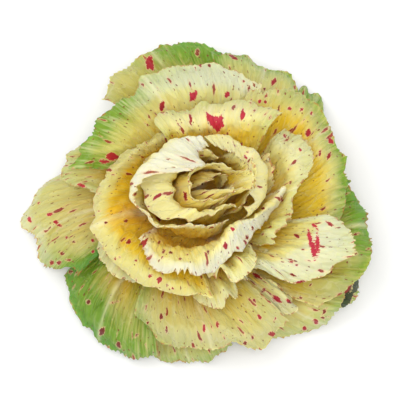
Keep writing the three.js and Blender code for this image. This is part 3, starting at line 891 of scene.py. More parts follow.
FLECKS = (
    Fleck((206, 112), (219, 132), 6, 0.9),
    Fleck((207, 117), (223, 121), 5, 0.9),
    Fleck((222, 114), (217, 133), 6, 0.9),
    Fleck((211, 124), (225, 126), 5, 0.9),
    Fleck((243, 108), (242, 121), 4, 0.7),
    Fleck((190, 113), (191, 125), 2.5, 0.2),
    Fleck((151, 55), (148, 70), 6, 0.3),
    Fleck((147, 57), (153, 71), 6, 0.3),
    Fleck((197, 90), (190, 102), 5, 0.9),
    Fleck((190, 92), (194, 101), 3, 0.9),
    Fleck((229, 91), (225, 98), 4, 0.9),
    Fleck((163, 100), (161, 112), 4, 0.4),
    Fleck((105, 156), (119, 157), 7, 0.4),
    Fleck((309, 130), (307, 136), 5, 0.3),
    Fleck((329, 138), (333, 144), 4, 0.4),
    Fleck((300, 107), (302, 111), 3, 0.3),
    Fleck((290, 106), (289, 111), 3, 0.3),
    Fleck((217, 321), (218, 328), 2, 0.4),
    Fleck((98, 161), (110, 162), 3, 0.6),
    Fleck((107, 155), (116, 156), 3, 0.5),
    Fleck((153, 200), (162, 193), 3, 0.2),
    Fleck((186, 191), (187, 201), 3, 0.1),
    Fleck((77, 184), (86, 187), 3, 0.6),
    Fleck((46, 215), (53, 214), 2.5, 0.7),
    Fleck((53, 222), (59, 222), 2, 0.5),
    Fleck((56, 225), (63, 226), 2, 0.5),
    Fleck((65, 236), (68, 239), 1.5, 0.4),
    Fleck((59, 253), (65, 254), 3, 0.1, 0.2),
    Fleck((50, 265), (53, 260), 3, 0.2, 0.2),
    Fleck((56, 263), (62, 262), 3, 0.1, 0.2),
    Fleck((64, 260), (72, 260), 1, 0.1, 0.2),
    Fleck((68, 273), (73, 271), 2.5, 0.0, 0.3),
    Fleck((91, 240), (95, 241), 2, 0.4),
    Fleck((91, 251), (95, 252), 2, 0.5),
    Fleck((72, 242), (77, 242), 1.5, 0.0, 0.3),
    Fleck((104, 224), (108, 222), 2, 0.0, 0.3),
    Fleck((127, 244), (130, 239), 3.5, 0.1),
    Fleck((138, 250), (148, 238), 4.5, 0.1),
    Fleck((155, 215), (161, 222), 2, 0.1, 0.1),
    Fleck((168, 252), (173, 253), 2, 0.0, 0.2),
    Fleck((161, 259), (164, 256), 2, 0.1, 0.1),
    Fleck((147, 278), (153, 274), 2.5, 0.3),
    Fleck((158, 284), (161, 276), 4, 0.2),
    Fleck((166, 285), (169, 286), 2, 0.0, 0.2),
    Fleck((171, 287), (174, 289), 1.5, 0.1, 0.1),
    Fleck((87, 299), (90, 305), 3, 0.0, 0.4),
    Fleck((110, 303), (119, 301), 1.2, 0.0, 0.1),
    Fleck((99, 336), (105, 326), 4, 0.0, 0.4),
    Fleck((116, 346), (120, 342), 3, 0.0, 0.4),
    Fleck((118, 342), (120, 349), 2, 0.0, 0.4),
    Fleck((135, 338), (139, 333), 1.5, 0.0, 0.3),
    Fleck((161, 313), (161, 320), 2.5, 0.0, 0.3),
    Fleck((147, 324), (149, 321), 1.2, 0.0, 0.2),
    Fleck((166, 334), (167, 325), 1.2, 0.0, 0.2),
    Fleck((204, 322), (204, 333), 1.8, 0.4),
    Fleck((113, 259), (117, 259), 2, 0.1, 0.2),
    Fleck((118, 257), (121, 256), 1.5, 0.1, 0.1),
    Fleck((28, 216), (31, 223), 3, 0.6),
    Fleck((31, 199), (32, 203), 2, 0.3, 0.1),
    Fleck((38, 202), (40, 204), 1.5, 0.4),
    Fleck((134, 261), (138, 260), 1.2, 0.1, 0.1),
    Fleck((308, 228), (312, 250), 3.6, 0.9),
    Fleck((312, 240), (315, 261), 4.2, 0.9),
    Fleck((317, 232), (318, 257), 3.2, 0.9),
    Fleck((311, 222), (318, 230), 2, 0.7),
    Fleck((325, 221), (335, 227), 1.8, 0.3, 0.1),
    Fleck((364, 268), (352, 296), 6, 0.0, 1.0),
    Fleck((353, 291), (341, 310), 6, 0.0, 1.0),
    Fleck((343, 305), (329, 319), 5, 0.0, 1.0),
    Fleck((351, 282), (345, 298), 4, 0.3, 0.2),
    Fleck((276, 77), (272, 86), 3, 0.2),
    Fleck((242, 82), (245, 80), 2, 0.2, 0.1),
    Fleck((253, 83), (255, 87), 1.5, 0.0, 0.3),
    Fleck((262, 91), (266, 87), 1.5, 0.0, 0.3),
    Fleck((258, 103), (261, 99), 2.5, 0.6),
    Fleck((264, 103), (267, 101), 2, 0.4, 0.1),
    Fleck((311, 116), (312, 111), 2, 0.3),
    Fleck((319, 157), (321, 149), 1.5, 0.3, 0.1),
    Fleck((327, 160), (331, 152), 1.8, 0.1, 0.1),
    Fleck((283, 135), (287, 137), 2, 0.2),
    Fleck((289, 132), (293, 128), 1.5, 0.0, 0.2),
    Fleck((298, 148), (302, 151), 2, 0.4, 0.1),
    Fleck((287, 169), (290, 169), 2, 0.0, 0.3),
    Fleck((289, 182), (292, 183), 2, 0.0, 0.3),
    Fleck((269, 120), (271, 115), 2, 0.1, 0.1),
    Fleck((281, 196), (284, 201), 2.5, 0.0, 0.3),
    Fleck((261, 208), (265, 209), 2.5, 0.0, 0.3),
    Fleck((208, 67), (211, 65), 2, 0.0, 0.3),
    Fleck((239, 143), (243, 146), 2, 0.6),
    Fleck((244, 155), (247, 158), 2, 0.5),
    Fleck((252, 273), (262, 279), 3, 0.0),
    Fleck((261, 294), (266, 287), 2, 0.1, 0.1),
    Fleck((253, 298), (256, 303), 2, 0.1, 0.1),
    Fleck((272, 295), (282, 303), 3.6, 0.5),
    Fleck((286, 299), (291, 303), 3, 0.4),
    Fleck((299, 297), (303, 299), 1.5, 0.0, 0.2),
    Fleck((295, 283), (306, 281), 3, 0.0),
    Fleck((309, 286), (312, 283), 2, 0.0, 0.2),
    Fleck((289, 274), (296, 276), 2, 0.0, 0.1),
    Fleck((322, 316), (327, 307), 1.8, 0.0, 0.3),
    Fleck((321, 316), (325, 320), 2.5, 0.0, 0.3),
    Fleck((313, 319), (319, 324), 3.5, 0.2),
    Fleck((303, 331), (306, 326), 3, 0.2),
    Fleck((268, 334), (276, 334), 3.5, 0.2),
    Fleck((258, 314), (261, 320), 3, 0.3),
    Fleck((274, 321), (276, 317), 1.5, 0.2),
    Fleck((251, 340), (254, 335), 2.5, 0.0, 0.2),
    Fleck((243, 345), (247, 341), 2.5, 0.0, 0.3),
    Fleck((353, 235), (360, 233), 1.8, 0.0, 0.2),
    Fleck((329, 270), (333, 273), 2.5, 0.2, 0.1),
    Fleck((290, 263), (293, 261), 2.5, 0.6),
    Fleck((295, 266), (298, 264), 1.5, 0.3, 0.1),
    Fleck((281, 262), (284, 262), 1.5, 0.0, 0.4),
    Fleck((294, 234), (300, 238), 2.5, 0.1),
    Fleck((225, 242), (226, 250), 3, 0.3),
    Fleck((230, 228), (235, 230), 3, 0.7),
    Fleck((252, 226), (253, 231), 1.6, 0.0, 0.3),
    Fleck((246, 235), (248, 240), 2, 0.0, 0.2),
    Fleck((236, 247), (240, 249), 2, 0.4),
    Fleck((251, 242), (252, 246), 1.5, 0.0, 0.3),
    Fleck((207, 255), (209, 250), 1.6, 0.0, 0.3),
    Fleck((198, 48), (197, 57), 3, 0.0, 0.3),
    Fleck((219, 51), (227, 55), 2, 0.0),
    Fleck((228, 54), (238, 60), 2, 0.0),
)


class Speckles:
    """Lays the listed flecks on the leaves that the camera sees at their pixels."""

    REACH = 9.0 * MM
    SOFT = 0.4
    SLENDER = 0.9
    BORDER = 2.5
    OUTSIDE = -0.9
    SHORTEST = 1e-6

    def __init__(self, leaves: list[LeafPiece], studio: "Studio") -> None:
        """Join the leaves in one tree that rays can hit.

        Args:
            leaves: The grown leaves.
            studio: The studio, whose camera places the flecks.
        """
        self.leaves = leaves
        self.studio = studio
        self.points = [Mesher.read(leaf.piece) for leaf in leaves]
        self.pixels = [studio.project(points) for points in self.points]
        corners, faces, self.owner, first = [], [], [], 0
        for index, leaf in enumerate(leaves):
            mesh = leaf.piece.data
            loops = np.empty(len(mesh.loops), np.int32)
            mesh.loops.foreach_get("vertex_index", loops)
            faces += (loops.reshape(-1, 4) + first).tolist()
            corners += self.points[index].tolist()
            self.owner += [index] * len(mesh.polygons)
            first += len(mesh.vertices)
        self.tree = BVHTree.FromPolygons(corners, faces)

    def lay(self, fleck: Fleck) -> None:
        """Paint one fleck on the leaf that shows at its middle.

        Args:
            fleck: The fleck.
        """
        start, stop = np.array(fleck.start, float), np.array(fleck.stop, float)
        origin, direction = self.studio.ray((start + stop) / 2.0)
        hit, _, face, _ = self.tree.ray_cast(Vector(origin), Vector(direction))
        if hit is None:
            log.info("fleck at %s misses the head", fleck.start)
            return
        index = self.owner[face]
        length = float(np.linalg.norm(stop - start))
        away = np.linalg.norm(self.points[index] - np.array(hit), axis=1)
        near = away < self.REACH + length * self.studio.pixel
        values = self._lens(fleck, self.pixels[index][near], length)
        marked = values > self.OUTSIDE
        mesh = self.leaves[index].piece.data
        for name, new in (("patch", values), ("blush", marked * fleck.blush), ("dark", marked * fleck.dark)):
            layer = mesh.attributes[name]
            kept = np.empty(len(mesh.vertices), np.float32)
            layer.data.foreach_get("value", kept)
            kept[near] = np.maximum(kept[near], new)
            layer.data.foreach_set("value", kept)

    def _lens(self, fleck: Fleck, pixels: Array, length: float) -> Array:
        """Return a field that is above 0 inside a pointed lens.

        Args:
            fleck: The fleck.
            pixels: Where points of the leaf show.
            length: The distance between the ends of the fleck.

        Returns:
            One value from -1 to 1 for each point.
        """
        start, stop = np.array(fleck.start, float), np.array(fleck.stop, float)
        axis = (stop - start) / max(length, self.SHORTEST)
        reach = max(length / 2.0, fleck.width * self.SLENDER)
        along = ((pixels - start) @ axis - length / 2.0) / reach
        off = np.abs((pixels - start) @ np.array([-axis[1], axis[0]]))
        half = (fleck.width / 2.0 + self.SOFT) * (1.0 - along * along)
        return np.clip((half - off) / self.BORDER, -1.0, 1.0)


class Signal:
    """A socket that takes part in arithmetic: each operator adds a Math node."""

    def __init__(self, sheet: "Sheet", socket: bpy.types.NodeSocket) -> None:
        """Wrap a socket of a sheet of nodes."""
        self.sheet = sheet
        self.socket = socket

    def _join(self, operation: str, first: "Signal | float", second: "Signal | float") -> "Signal":
        """Return the result of one Math node."""
        return self.sheet.node("ShaderNodeMath", {"operation": operation}, {0: first, 1: second})

    def __add__(self, other: "Signal | float") -> "Signal":
        """Return the sum."""
        return self._join("ADD", self, other)

    def __sub__(self, other: "Signal | float") -> "Signal":
        """Return the difference."""
        return self._join("SUBTRACT", self, other)

    def __rsub__(self, other: float) -> "Signal":
        """Return the difference from a number."""
        return self._join("SUBTRACT", other, self)

    def __mul__(self, other: "Signal | float") -> "Signal":
        """Return the product."""
        return self._join("MULTIPLY", self, other)

    def __truediv__(self, other: "Signal | float") -> "Signal":
        """Return the quotient."""
        return self._join("DIVIDE", self, other)

    def __pow__(self, other: float) -> "Signal":
        """Return the power."""
        return self._join("POWER", self, other)

    def __abs__(self) -> "Signal":
        """Return the value without its sign."""
        return self.sheet.node("ShaderNodeMath", {"operation": "ABSOLUTE"}, {0: self})

    __radd__ = __add__
    __rmul__ = __mul__

    def held(self) -> "Signal":
        """Return the value held between 0 and 1."""
        return self.sheet.node("ShaderNodeClamp", {}, {"Value": self})

    def swing(self, size: float) -> "Signal":
        """Return a noise from 0 to 1 as a change of a size about 0."""
        return (self - 0.5) * size


def paint(code: str) -> tuple[float, float, float, float]:
    """Return the linear colour of a hexadecimal sRGB code.

    Args:
        code: A hash sign and six digits.

    Returns:
        Red, green, blue and a full alpha.
    """
    parts = [int(code[k : k + 2], 16) / 255.0 for k in (1, 3, 5)]
    linear = [c / 12.92 if c <= 0.04045 else ((c + 0.055) / 1.055) ** 2.4 for c in parts]
    return (*linear, 1.0)


@dataclass(frozen=True)
class Pattern:
    """A noise on a leaf: how many cells fit in 100 mm, how they are stretched along it, and its detail."""

    scale: float
    along: float = 1.0
    detail: float = 2.0


class Sheet:
    """The nodes of one material."""

    def __init__(self, name: str) -> None:
        """Start a material with a Principled shader."""
        self.material = bpy.data.materials.new(name)
        self.material.use_nodes = True
        self.tree = self.material.node_tree
        self.shader = self.tree.nodes["Principled BSDF"]

    def node(self, kind: str, settings: dict, values: dict, output: str | int = 0) -> Signal:
        """Add a node.

        Args:
            kind: The type of the node.
            settings: Its own settings, which are set first.
            values: Numbers, colours or signals for its sockets, by name or number.
            output: The socket to go on from.

        Returns:
            The signal of the output.
        """
        made = self.tree.nodes.new(kind)
        for name, value in settings.items():
            setattr(made, name, value)
        for key, value in values.items():
            self.put(made.inputs[key], value)
        return Signal(self, made.outputs[output])

    def put(self, socket: bpy.types.NodeSocket, value: "Signal | float | tuple") -> None:
        """Fill a socket.

        Args:
            socket: The socket.
            value: A signal to link to it, or its own value.
        """
        if isinstance(value, Signal):
            self.tree.links.new(value.socket, socket)
        else:
            socket.default_value = value

    def finish(self, colour: Signal, normal: Signal, roughness: Signal) -> None:
        """Link the signals that change over the surface to the shader.

        Args:
            colour: The base colour.
            normal: The normal that the relief bends.
            roughness: How rough the surface is.
        """
        self.put(self.shader.inputs["Base Color"], colour)
        self.put(self.shader.inputs["Normal"], normal)
        self.put(self.shader.inputs["Roughness"], roughness)

    def attribute(self, name: str) -> Signal:
        """Return a number kept on the points of the mesh."""
        return self.node("ShaderNodeAttribute", {"attribute_name": name}, {}, "Fac")

    def blend(self, share: Signal | float, low: "Signal | tuple", high: "Signal | tuple") -> Signal:
        """Mix two colours.

        Args:
            share: The share of the second colour.
            low: The first colour.
            high: The second colour.

        Returns:
            The mixed colour.
        """
        made = self.tree.nodes.new("ShaderNodeMix")
        made.data_type = "RGBA"
        colours = [s for s in made.inputs if s.type == "RGBA"]
        self.put(made.inputs[0], share)
        self.put(colours[0], low)
        self.put(colours[1], high)
        return Signal(self, next(s for s in made.outputs if s.type == "RGBA"))

    def stretch(self, vector: Signal, size: tuple[float, float, float]) -> Signal:
        """Return a vector scaled along each of its axes."""
        return self.node("ShaderNodeVectorMath", {"operation": "MULTIPLY"}, {0: vector, 1: size})

    def warp(self, vector: Signal, noise: Signal, size: tuple[float, float, float]) -> Signal:
        """Return a vector that a noise shifts by up to a size."""
        settings = {"operation": "MULTIPLY_ADD"}
        return self.node("ShaderNodeVectorMath", settings, {0: noise, 1: size, 2: vector})

    def noise(self, flat: Signal, pattern: Pattern) -> Signal:
        """Return smooth noise from 0 to 1 on a leaf.

        Args:
            flat: Where on the leaf.
            pattern: The size and the stretch of the noise.

        Returns:
            The noise.
        """
        vector = flat if pattern.along == 1.0 else self.stretch(flat, (1.0, pattern.along, 1.0))
        values = {"Vector": vector, "Scale": pattern.scale, "Detail": pattern.detail}
        return self.node("ShaderNodeTexNoise", {"noise_dimensions": "2D"}, values)

    def cells(self, vector: Signal, scale: float, feature: str = "F1") -> Signal:
        """Divide a leaf in cells.

        Args:
            vector: Where on the leaf.
            scale: How many cells fit in 100 mm.
            feature: Which distance is measured in a cell.

        Returns:
            The distance.
        """
        settings = {"voronoi_dimensions": "2D", "feature": feature}
        return self.node("ShaderNodeTexVoronoi", settings, {"Vector": vector, "Scale": scale})

    def draw(self, cells: Signal) -> Signal:
        """Return a number from 0 to 1 for each cell, the same all over it."""
        colour = Signal(self, cells.socket.node.outputs["Color"])
        return self.node("ShaderNodeSeparateColor", {}, {0: colour})

    def bump(self, height: Signal, strength: float, distance: float) -> Signal:
        """Return the normal that a height bends."""
        return self.node("ShaderNodeBump", {}, {"Height": height, "Strength": strength, "Distance": distance})


CLOUD = Pattern(7.0, detail=3.0)
STREAK = Pattern(22.0, along=0.18)
FIBRE = Pattern(52.0, along=0.07)
GLOSS = Pattern(60.0, along=0.25, detail=3.0)
GRAIN = Pattern(55.0, along=0.3)
ROUGH = Pattern(70.0)
SHIFT = Pattern(30.0)
VEIN_SHIFT = Pattern(14.0)
NICKS = Pattern(26.0)


@dataclass(frozen=True)
class Spots:
    """Scattered marks: how they are stretched, their cells in 100 mm, and how rare they are.

    bare is the share of cells without a mark in the middle of a leaf, and flecked how much a flecked skin
    takes away from it.
    """

    stretch: tuple[float, float, float]
    scale: float
    bare: float
    flecked: float

    LARGEST = 0.2
    NEAR_EDGE = 0.3
    CUT_OFF = 60.0


STREAKS = Spots((1.3, 0.45, 1.0), 12.0, 0.82, 0.16)
DOTS = Spots((1.0, 0.7, 1.0), 30.0, 0.84, 0.1)


@dataclass(frozen=True)
class LeafSkin:
    """The look of a kind of leaf: its colours, among them painted shade and a painted edge highlight, how
    much it is flecked, and its gloss.

    The widths of the bands along the edge are in millimetres.
    """

    kind: Kind
    body: str
    # Partly the leaf's own yellow, partly painted shade on the walls.
    gold: str
    margin: str
    green: str = "#6b9222"
    deep_green: str = "#43893a"
    # Painted shade: the brown of the creases deep in the head.
    brown: str = "#d29a30"
    rib: str = "#efe9c8"
    crimson: str = "#8e1a1c"
    pink: str = "#c42a42"
    halo: str = "#ecbc9c"
    dot: str = "#7c3222"
    # A painted highlight along the leaf's edge.
    edge_highlight: str = "#f1e39a"
    blackened: str = "#28351c"
    # Painted shade: the olive that darkens leaves lying away from the light.
    olive: str = "#b39a3e"
    rust: str = "#a4492a"
    flecked: float = 0.5
    roughness: float = 0.5

    DEEP_BAND = 8.0
    # The width of the line along the edge: a painted highlight, or on a green margin its own deep green.
    EDGE_LINE_BAND = 1.1
    NICK_BAND = 1.6
    FLECK_BAND = 30.0
    VEIN_CELLS = 16.0
    VEIN_STRETCH = (1.0, 0.32, 1.0)
    VEIN_WARP = (0.05, 0.05, 0.0)
    VEIN_SHARPNESS = 14.0
    PORE_CELLS = 42.0
    PORE_STRETCH = (1.0, 0.7, 1.0)
    MARK_WARP = (0.02, 0.03, 0.0)
    RAGGED_CELLS = 85.0
    RAGGED_STRETCH = (1.0, 0.6, 1.0)
    BUMP_STRENGTH = 0.6
    BUMP_HEIGHT = 0.8 * MM
    SUBSURFACE = 0.6
    SCATTER = (1.0, 0.85, 0.35)
    SCATTER_DEPTH = 4.5 * MM
    MIRROR = 0.35

    def dress(self) -> bpy.types.Material:
        """Make the material of this kind of leaf.

        Returns:
            The material.
        """
        sheet = Sheet(self.kind.value + "_skin")
        flat = sheet.node("ShaderNodeUVMap", {"uv_map": "Leaf"}, {})
        edge = sheet.attribute("edge")
        veins = self._veins(sheet, flat)
        colour = self._ground(sheet, flat, edge, veins)
        for mask, tone in self._scattered(sheet, flat, edge) + self._placed(sheet, flat):
            colour = sheet.blend(mask, colour, tone)
        gloss = sheet.noise(flat, GLOSS)
        pores = sheet.cells(sheet.stretch(flat, self.PORE_STRETCH), self.PORE_CELLS, "SMOOTH_F1")
        height = gloss * 0.5 + pores * -0.7 + veins * 0.6 + sheet.noise(flat, FIBRE) * 0.9
        bump = sheet.bump(height, self.BUMP_STRENGTH, self.BUMP_HEIGHT)
        sheet.finish(colour, bump, gloss * 0.16 + (self.roughness - 0.08))
        sheet.shader.inputs["Subsurface Weight"].default_value = self.SUBSURFACE
        sheet.shader.inputs["Subsurface Radius"].default_value = self.SCATTER
        sheet.shader.inputs["Subsurface Scale"].default_value = self.SCATTER_DEPTH
        sheet.shader.inputs["Specular IOR Level"].default_value = self.MIRROR
        return sheet.material

    def _veins(self, sheet: Sheet, flat: Signal) -> Signal:
        """Return the mask of a fine net of veins that runs along the leaf.

        Args:
            sheet: The nodes of the material.
            flat: Where on the leaf.

        Returns:
            The mask.
        """
        long = sheet.stretch(flat, self.VEIN_STRETCH)
        bent = sheet.warp(long, sheet.noise(flat, VEIN_SHIFT), self.VEIN_WARP)
        net = sheet.cells(bent, self.VEIN_CELLS, "DISTANCE_TO_EDGE")
        return (1.0 - net * self.VEIN_SHARPNESS).held()

    def _ground(self, sheet: Sheet, flat: Signal, edge: Signal, veins: Signal) -> Signal:
        """Return the colour of the leaf under its flecks, with painted shade in its creases and on leaves
        that lie away from the light, and a painted highlight along its edge.

        Args:
            sheet: The nodes of the material.
            flat: Where on the leaf.
            edge: The distance from the leaf's edge.
            veins: The mask of the veins.

        Returns:
            The colour.
        """
        cloud = sheet.noise(flat, CLOUD)
        streak = sheet.noise(flat, STREAK)
        fibre = sheet.noise(flat, FIBRE)
        # Gold: the leaf's own yellow, carried up the wall to the fold partly as painted shade.
        gold = (sheet.attribute("gold") * (0.72 + cloud * 0.5) + streak.swing(0.7) + fibre.swing(0.6)).held()
        colour = sheet.blend(gold, paint(self.body), paint(self.gold))
        # Painted shade: brown deep in the head towards the root, and in the deepest gold.
        brown = (sheet.attribute("deep") * (0.2 + streak * 0.6) + (gold - 0.85).held() * fibre).held()
        colour = sheet.blend(brown, colour, paint(self.brown))
        margin = (sheet.attribute("pale") * (1.0 + cloud.swing(0.7))).held()
        colour = sheet.blend(margin * 0.9, colour, paint(self.margin))
        # Painted shade: an olive darkening, outside the gold, on leaves that lie away from the light.
        painted_shade = (sheet.attribute("painted_shade") * (0.6 + cloud * 0.8) * (1.1 - gold)).held()
        colour = sheet.blend(painted_shade, colour, paint(self.olive))
        share = sheet.attribute("green")
        green = (share * (0.95 + cloud * 1.2 + fibre.swing(2.2))).held()
        colour = sheet.blend(green, colour, paint(self.green))
        band = (1.35 - edge / self.DEEP_BAND).held()
        deep = ((share - 0.6) * 4.0).held() * band * (0.3 + cloud * 0.7)
        colour = sheet.blend(deep, colour, paint(self.deep_green))
        rib = (sheet.attribute("rib") * 0.75 + veins * (1.0 - green * 0.6) * 0.18).held()
        colour = sheet.blend(rib, colour, paint(self.rib))
        # Painted highlight: a pale line along the edge; on a green margin the line is the leaf's own deep
        # green.
        line = (1.3 - edge / self.EDGE_LINE_BAND).held()
        return sheet.blend(line * 0.7, colour, sheet.blend(green, paint(self.edge_highlight), paint(self.deep_green)))

    def _ragged(self, sheet: Sheet, flat: Signal) -> Signal:
        """Return a number from 0 to 1 in small cells, which makes the outline of a mark angular."""
        bent = self._bent(sheet, flat)
        return sheet.draw(sheet.cells(sheet.stretch(bent, self.RAGGED_STRETCH), self.RAGGED_CELLS))

    def _bent(self, sheet: Sheet, flat: Signal) -> Signal:
        """Return the places on the leaf, slightly shifted, so that no mark is round."""
        return sheet.warp(flat, sheet.noise(flat, SHIFT), self.MARK_WARP)

    def _scattered(self, sheet: Sheet, flat: Signal, edge: Signal) -> list[tuple[Signal, tuple]]:
        """Return the rusty nicks along the edge, the scattered flecks with their halo and the small dots.

        Args:
            sheet: The nodes of the material.
            flat: Where on the leaf.
            edge: The distance from the leaf's edge.

        Returns:
            The mask and the colour of each.
        """
        near = (1.0 - edge / self.FLECK_BAND).held()
        bent = self._bent(sheet, flat)
        rugged = self._ragged(sheet, flat).swing(0.08)
        streaks = self._spots(sheet, bent, STREAKS, near) + rugged
        dots = self._spots(sheet, bent, DOTS, near) + rugged
        nicked = (1.15 - edge / self.NICK_BAND).held() * sheet.noise(flat, NICKS).swing(9.0).held()
        return [
            (nicked * 0.75, paint(self.rust)),
            ((streaks * 10.0 + 1.1).held() * 0.45, paint(self.halo)),
            ((streaks * 24.0).held() * 0.92, paint(self.crimson)),
            ((dots * 20.0).held() * 0.85, paint(self.dot)),
        ]

    def _placed(self, sheet: Sheet, flat: Signal) -> list[tuple[Signal, "Signal | tuple"]]:
        """Return the listed flecks with their halo, whose outline follows the grain of the leaf.

        Args:
            sheet: The nodes of the material.
            flat: Where on the leaf.

        Returns:
            The mask and the colour of each.
        """
        grain = sheet.noise(flat, GRAIN)
        inside = sheet.attribute("patch") + self._ragged(sheet, flat).swing(0.4)
        inside = inside + grain.swing(0.7) + sheet.noise(flat, ROUGH).swing(0.7)
        blush = (sheet.attribute("blush") * (0.4 + grain * 1.2)).held()
        red = sheet.blend(blush, paint(self.crimson), paint(self.pink))
        red = sheet.blend(sheet.attribute("dark"), red, paint(self.blackened))
        return [
            (((inside + 0.42) * 4.0).held() * 0.5, paint(self.halo)),
            ((inside * 7.0 + 0.5).held(), red),
        ]

    def _spots(self, sheet: Sheet, vector: Signal, spots: Spots, near: Signal) -> Signal:
        """Return a field that is above 0 inside scattered spots.

        Args:
            sheet: The nodes of the material.
            vector: Where on the leaf.
            spots: Their size, stretch and rarity.
            near: How near the edge is, from 0 to 1, where spots are more common.

        Returns:
            The field.
        """
        distance = sheet.cells(sheet.stretch(vector, spots.stretch), spots.scale)
        bare = (spots.bare - spots.flecked * self.flecked) - near * spots.NEAR_EDGE
        size = (sheet.draw(distance) - bare) / (1.0 - bare) * spots.LARGEST
        return size - distance - (1.0 - (size * spots.CUT_OFF).held()) * spots.LARGEST


# Each brown is painted shade deep in the head, and each gold is partly painted shade on the walls.
SKINS = (
    LeafSkin(Kind.HEART, body="#f7e07c", gold="#fbca22", margin="#f3ebb0", brown="#b8702e", flecked=0.5),
    LeafSkin(Kind.RIM, body="#ecdc8c", gold="#fbd148", margin="#ebe7c4", brown="#f2bd3c", flecked=0.9),
    LeafSkin(Kind.OPEN, body="#e3da8c", gold="#eabf2c", margin="#dcdcb4", flecked=1.0),
    LeafSkin(Kind.GREEN, body="#cdc781", gold="#d6b034", margin="#d8d6ac", flecked=1.0),
)


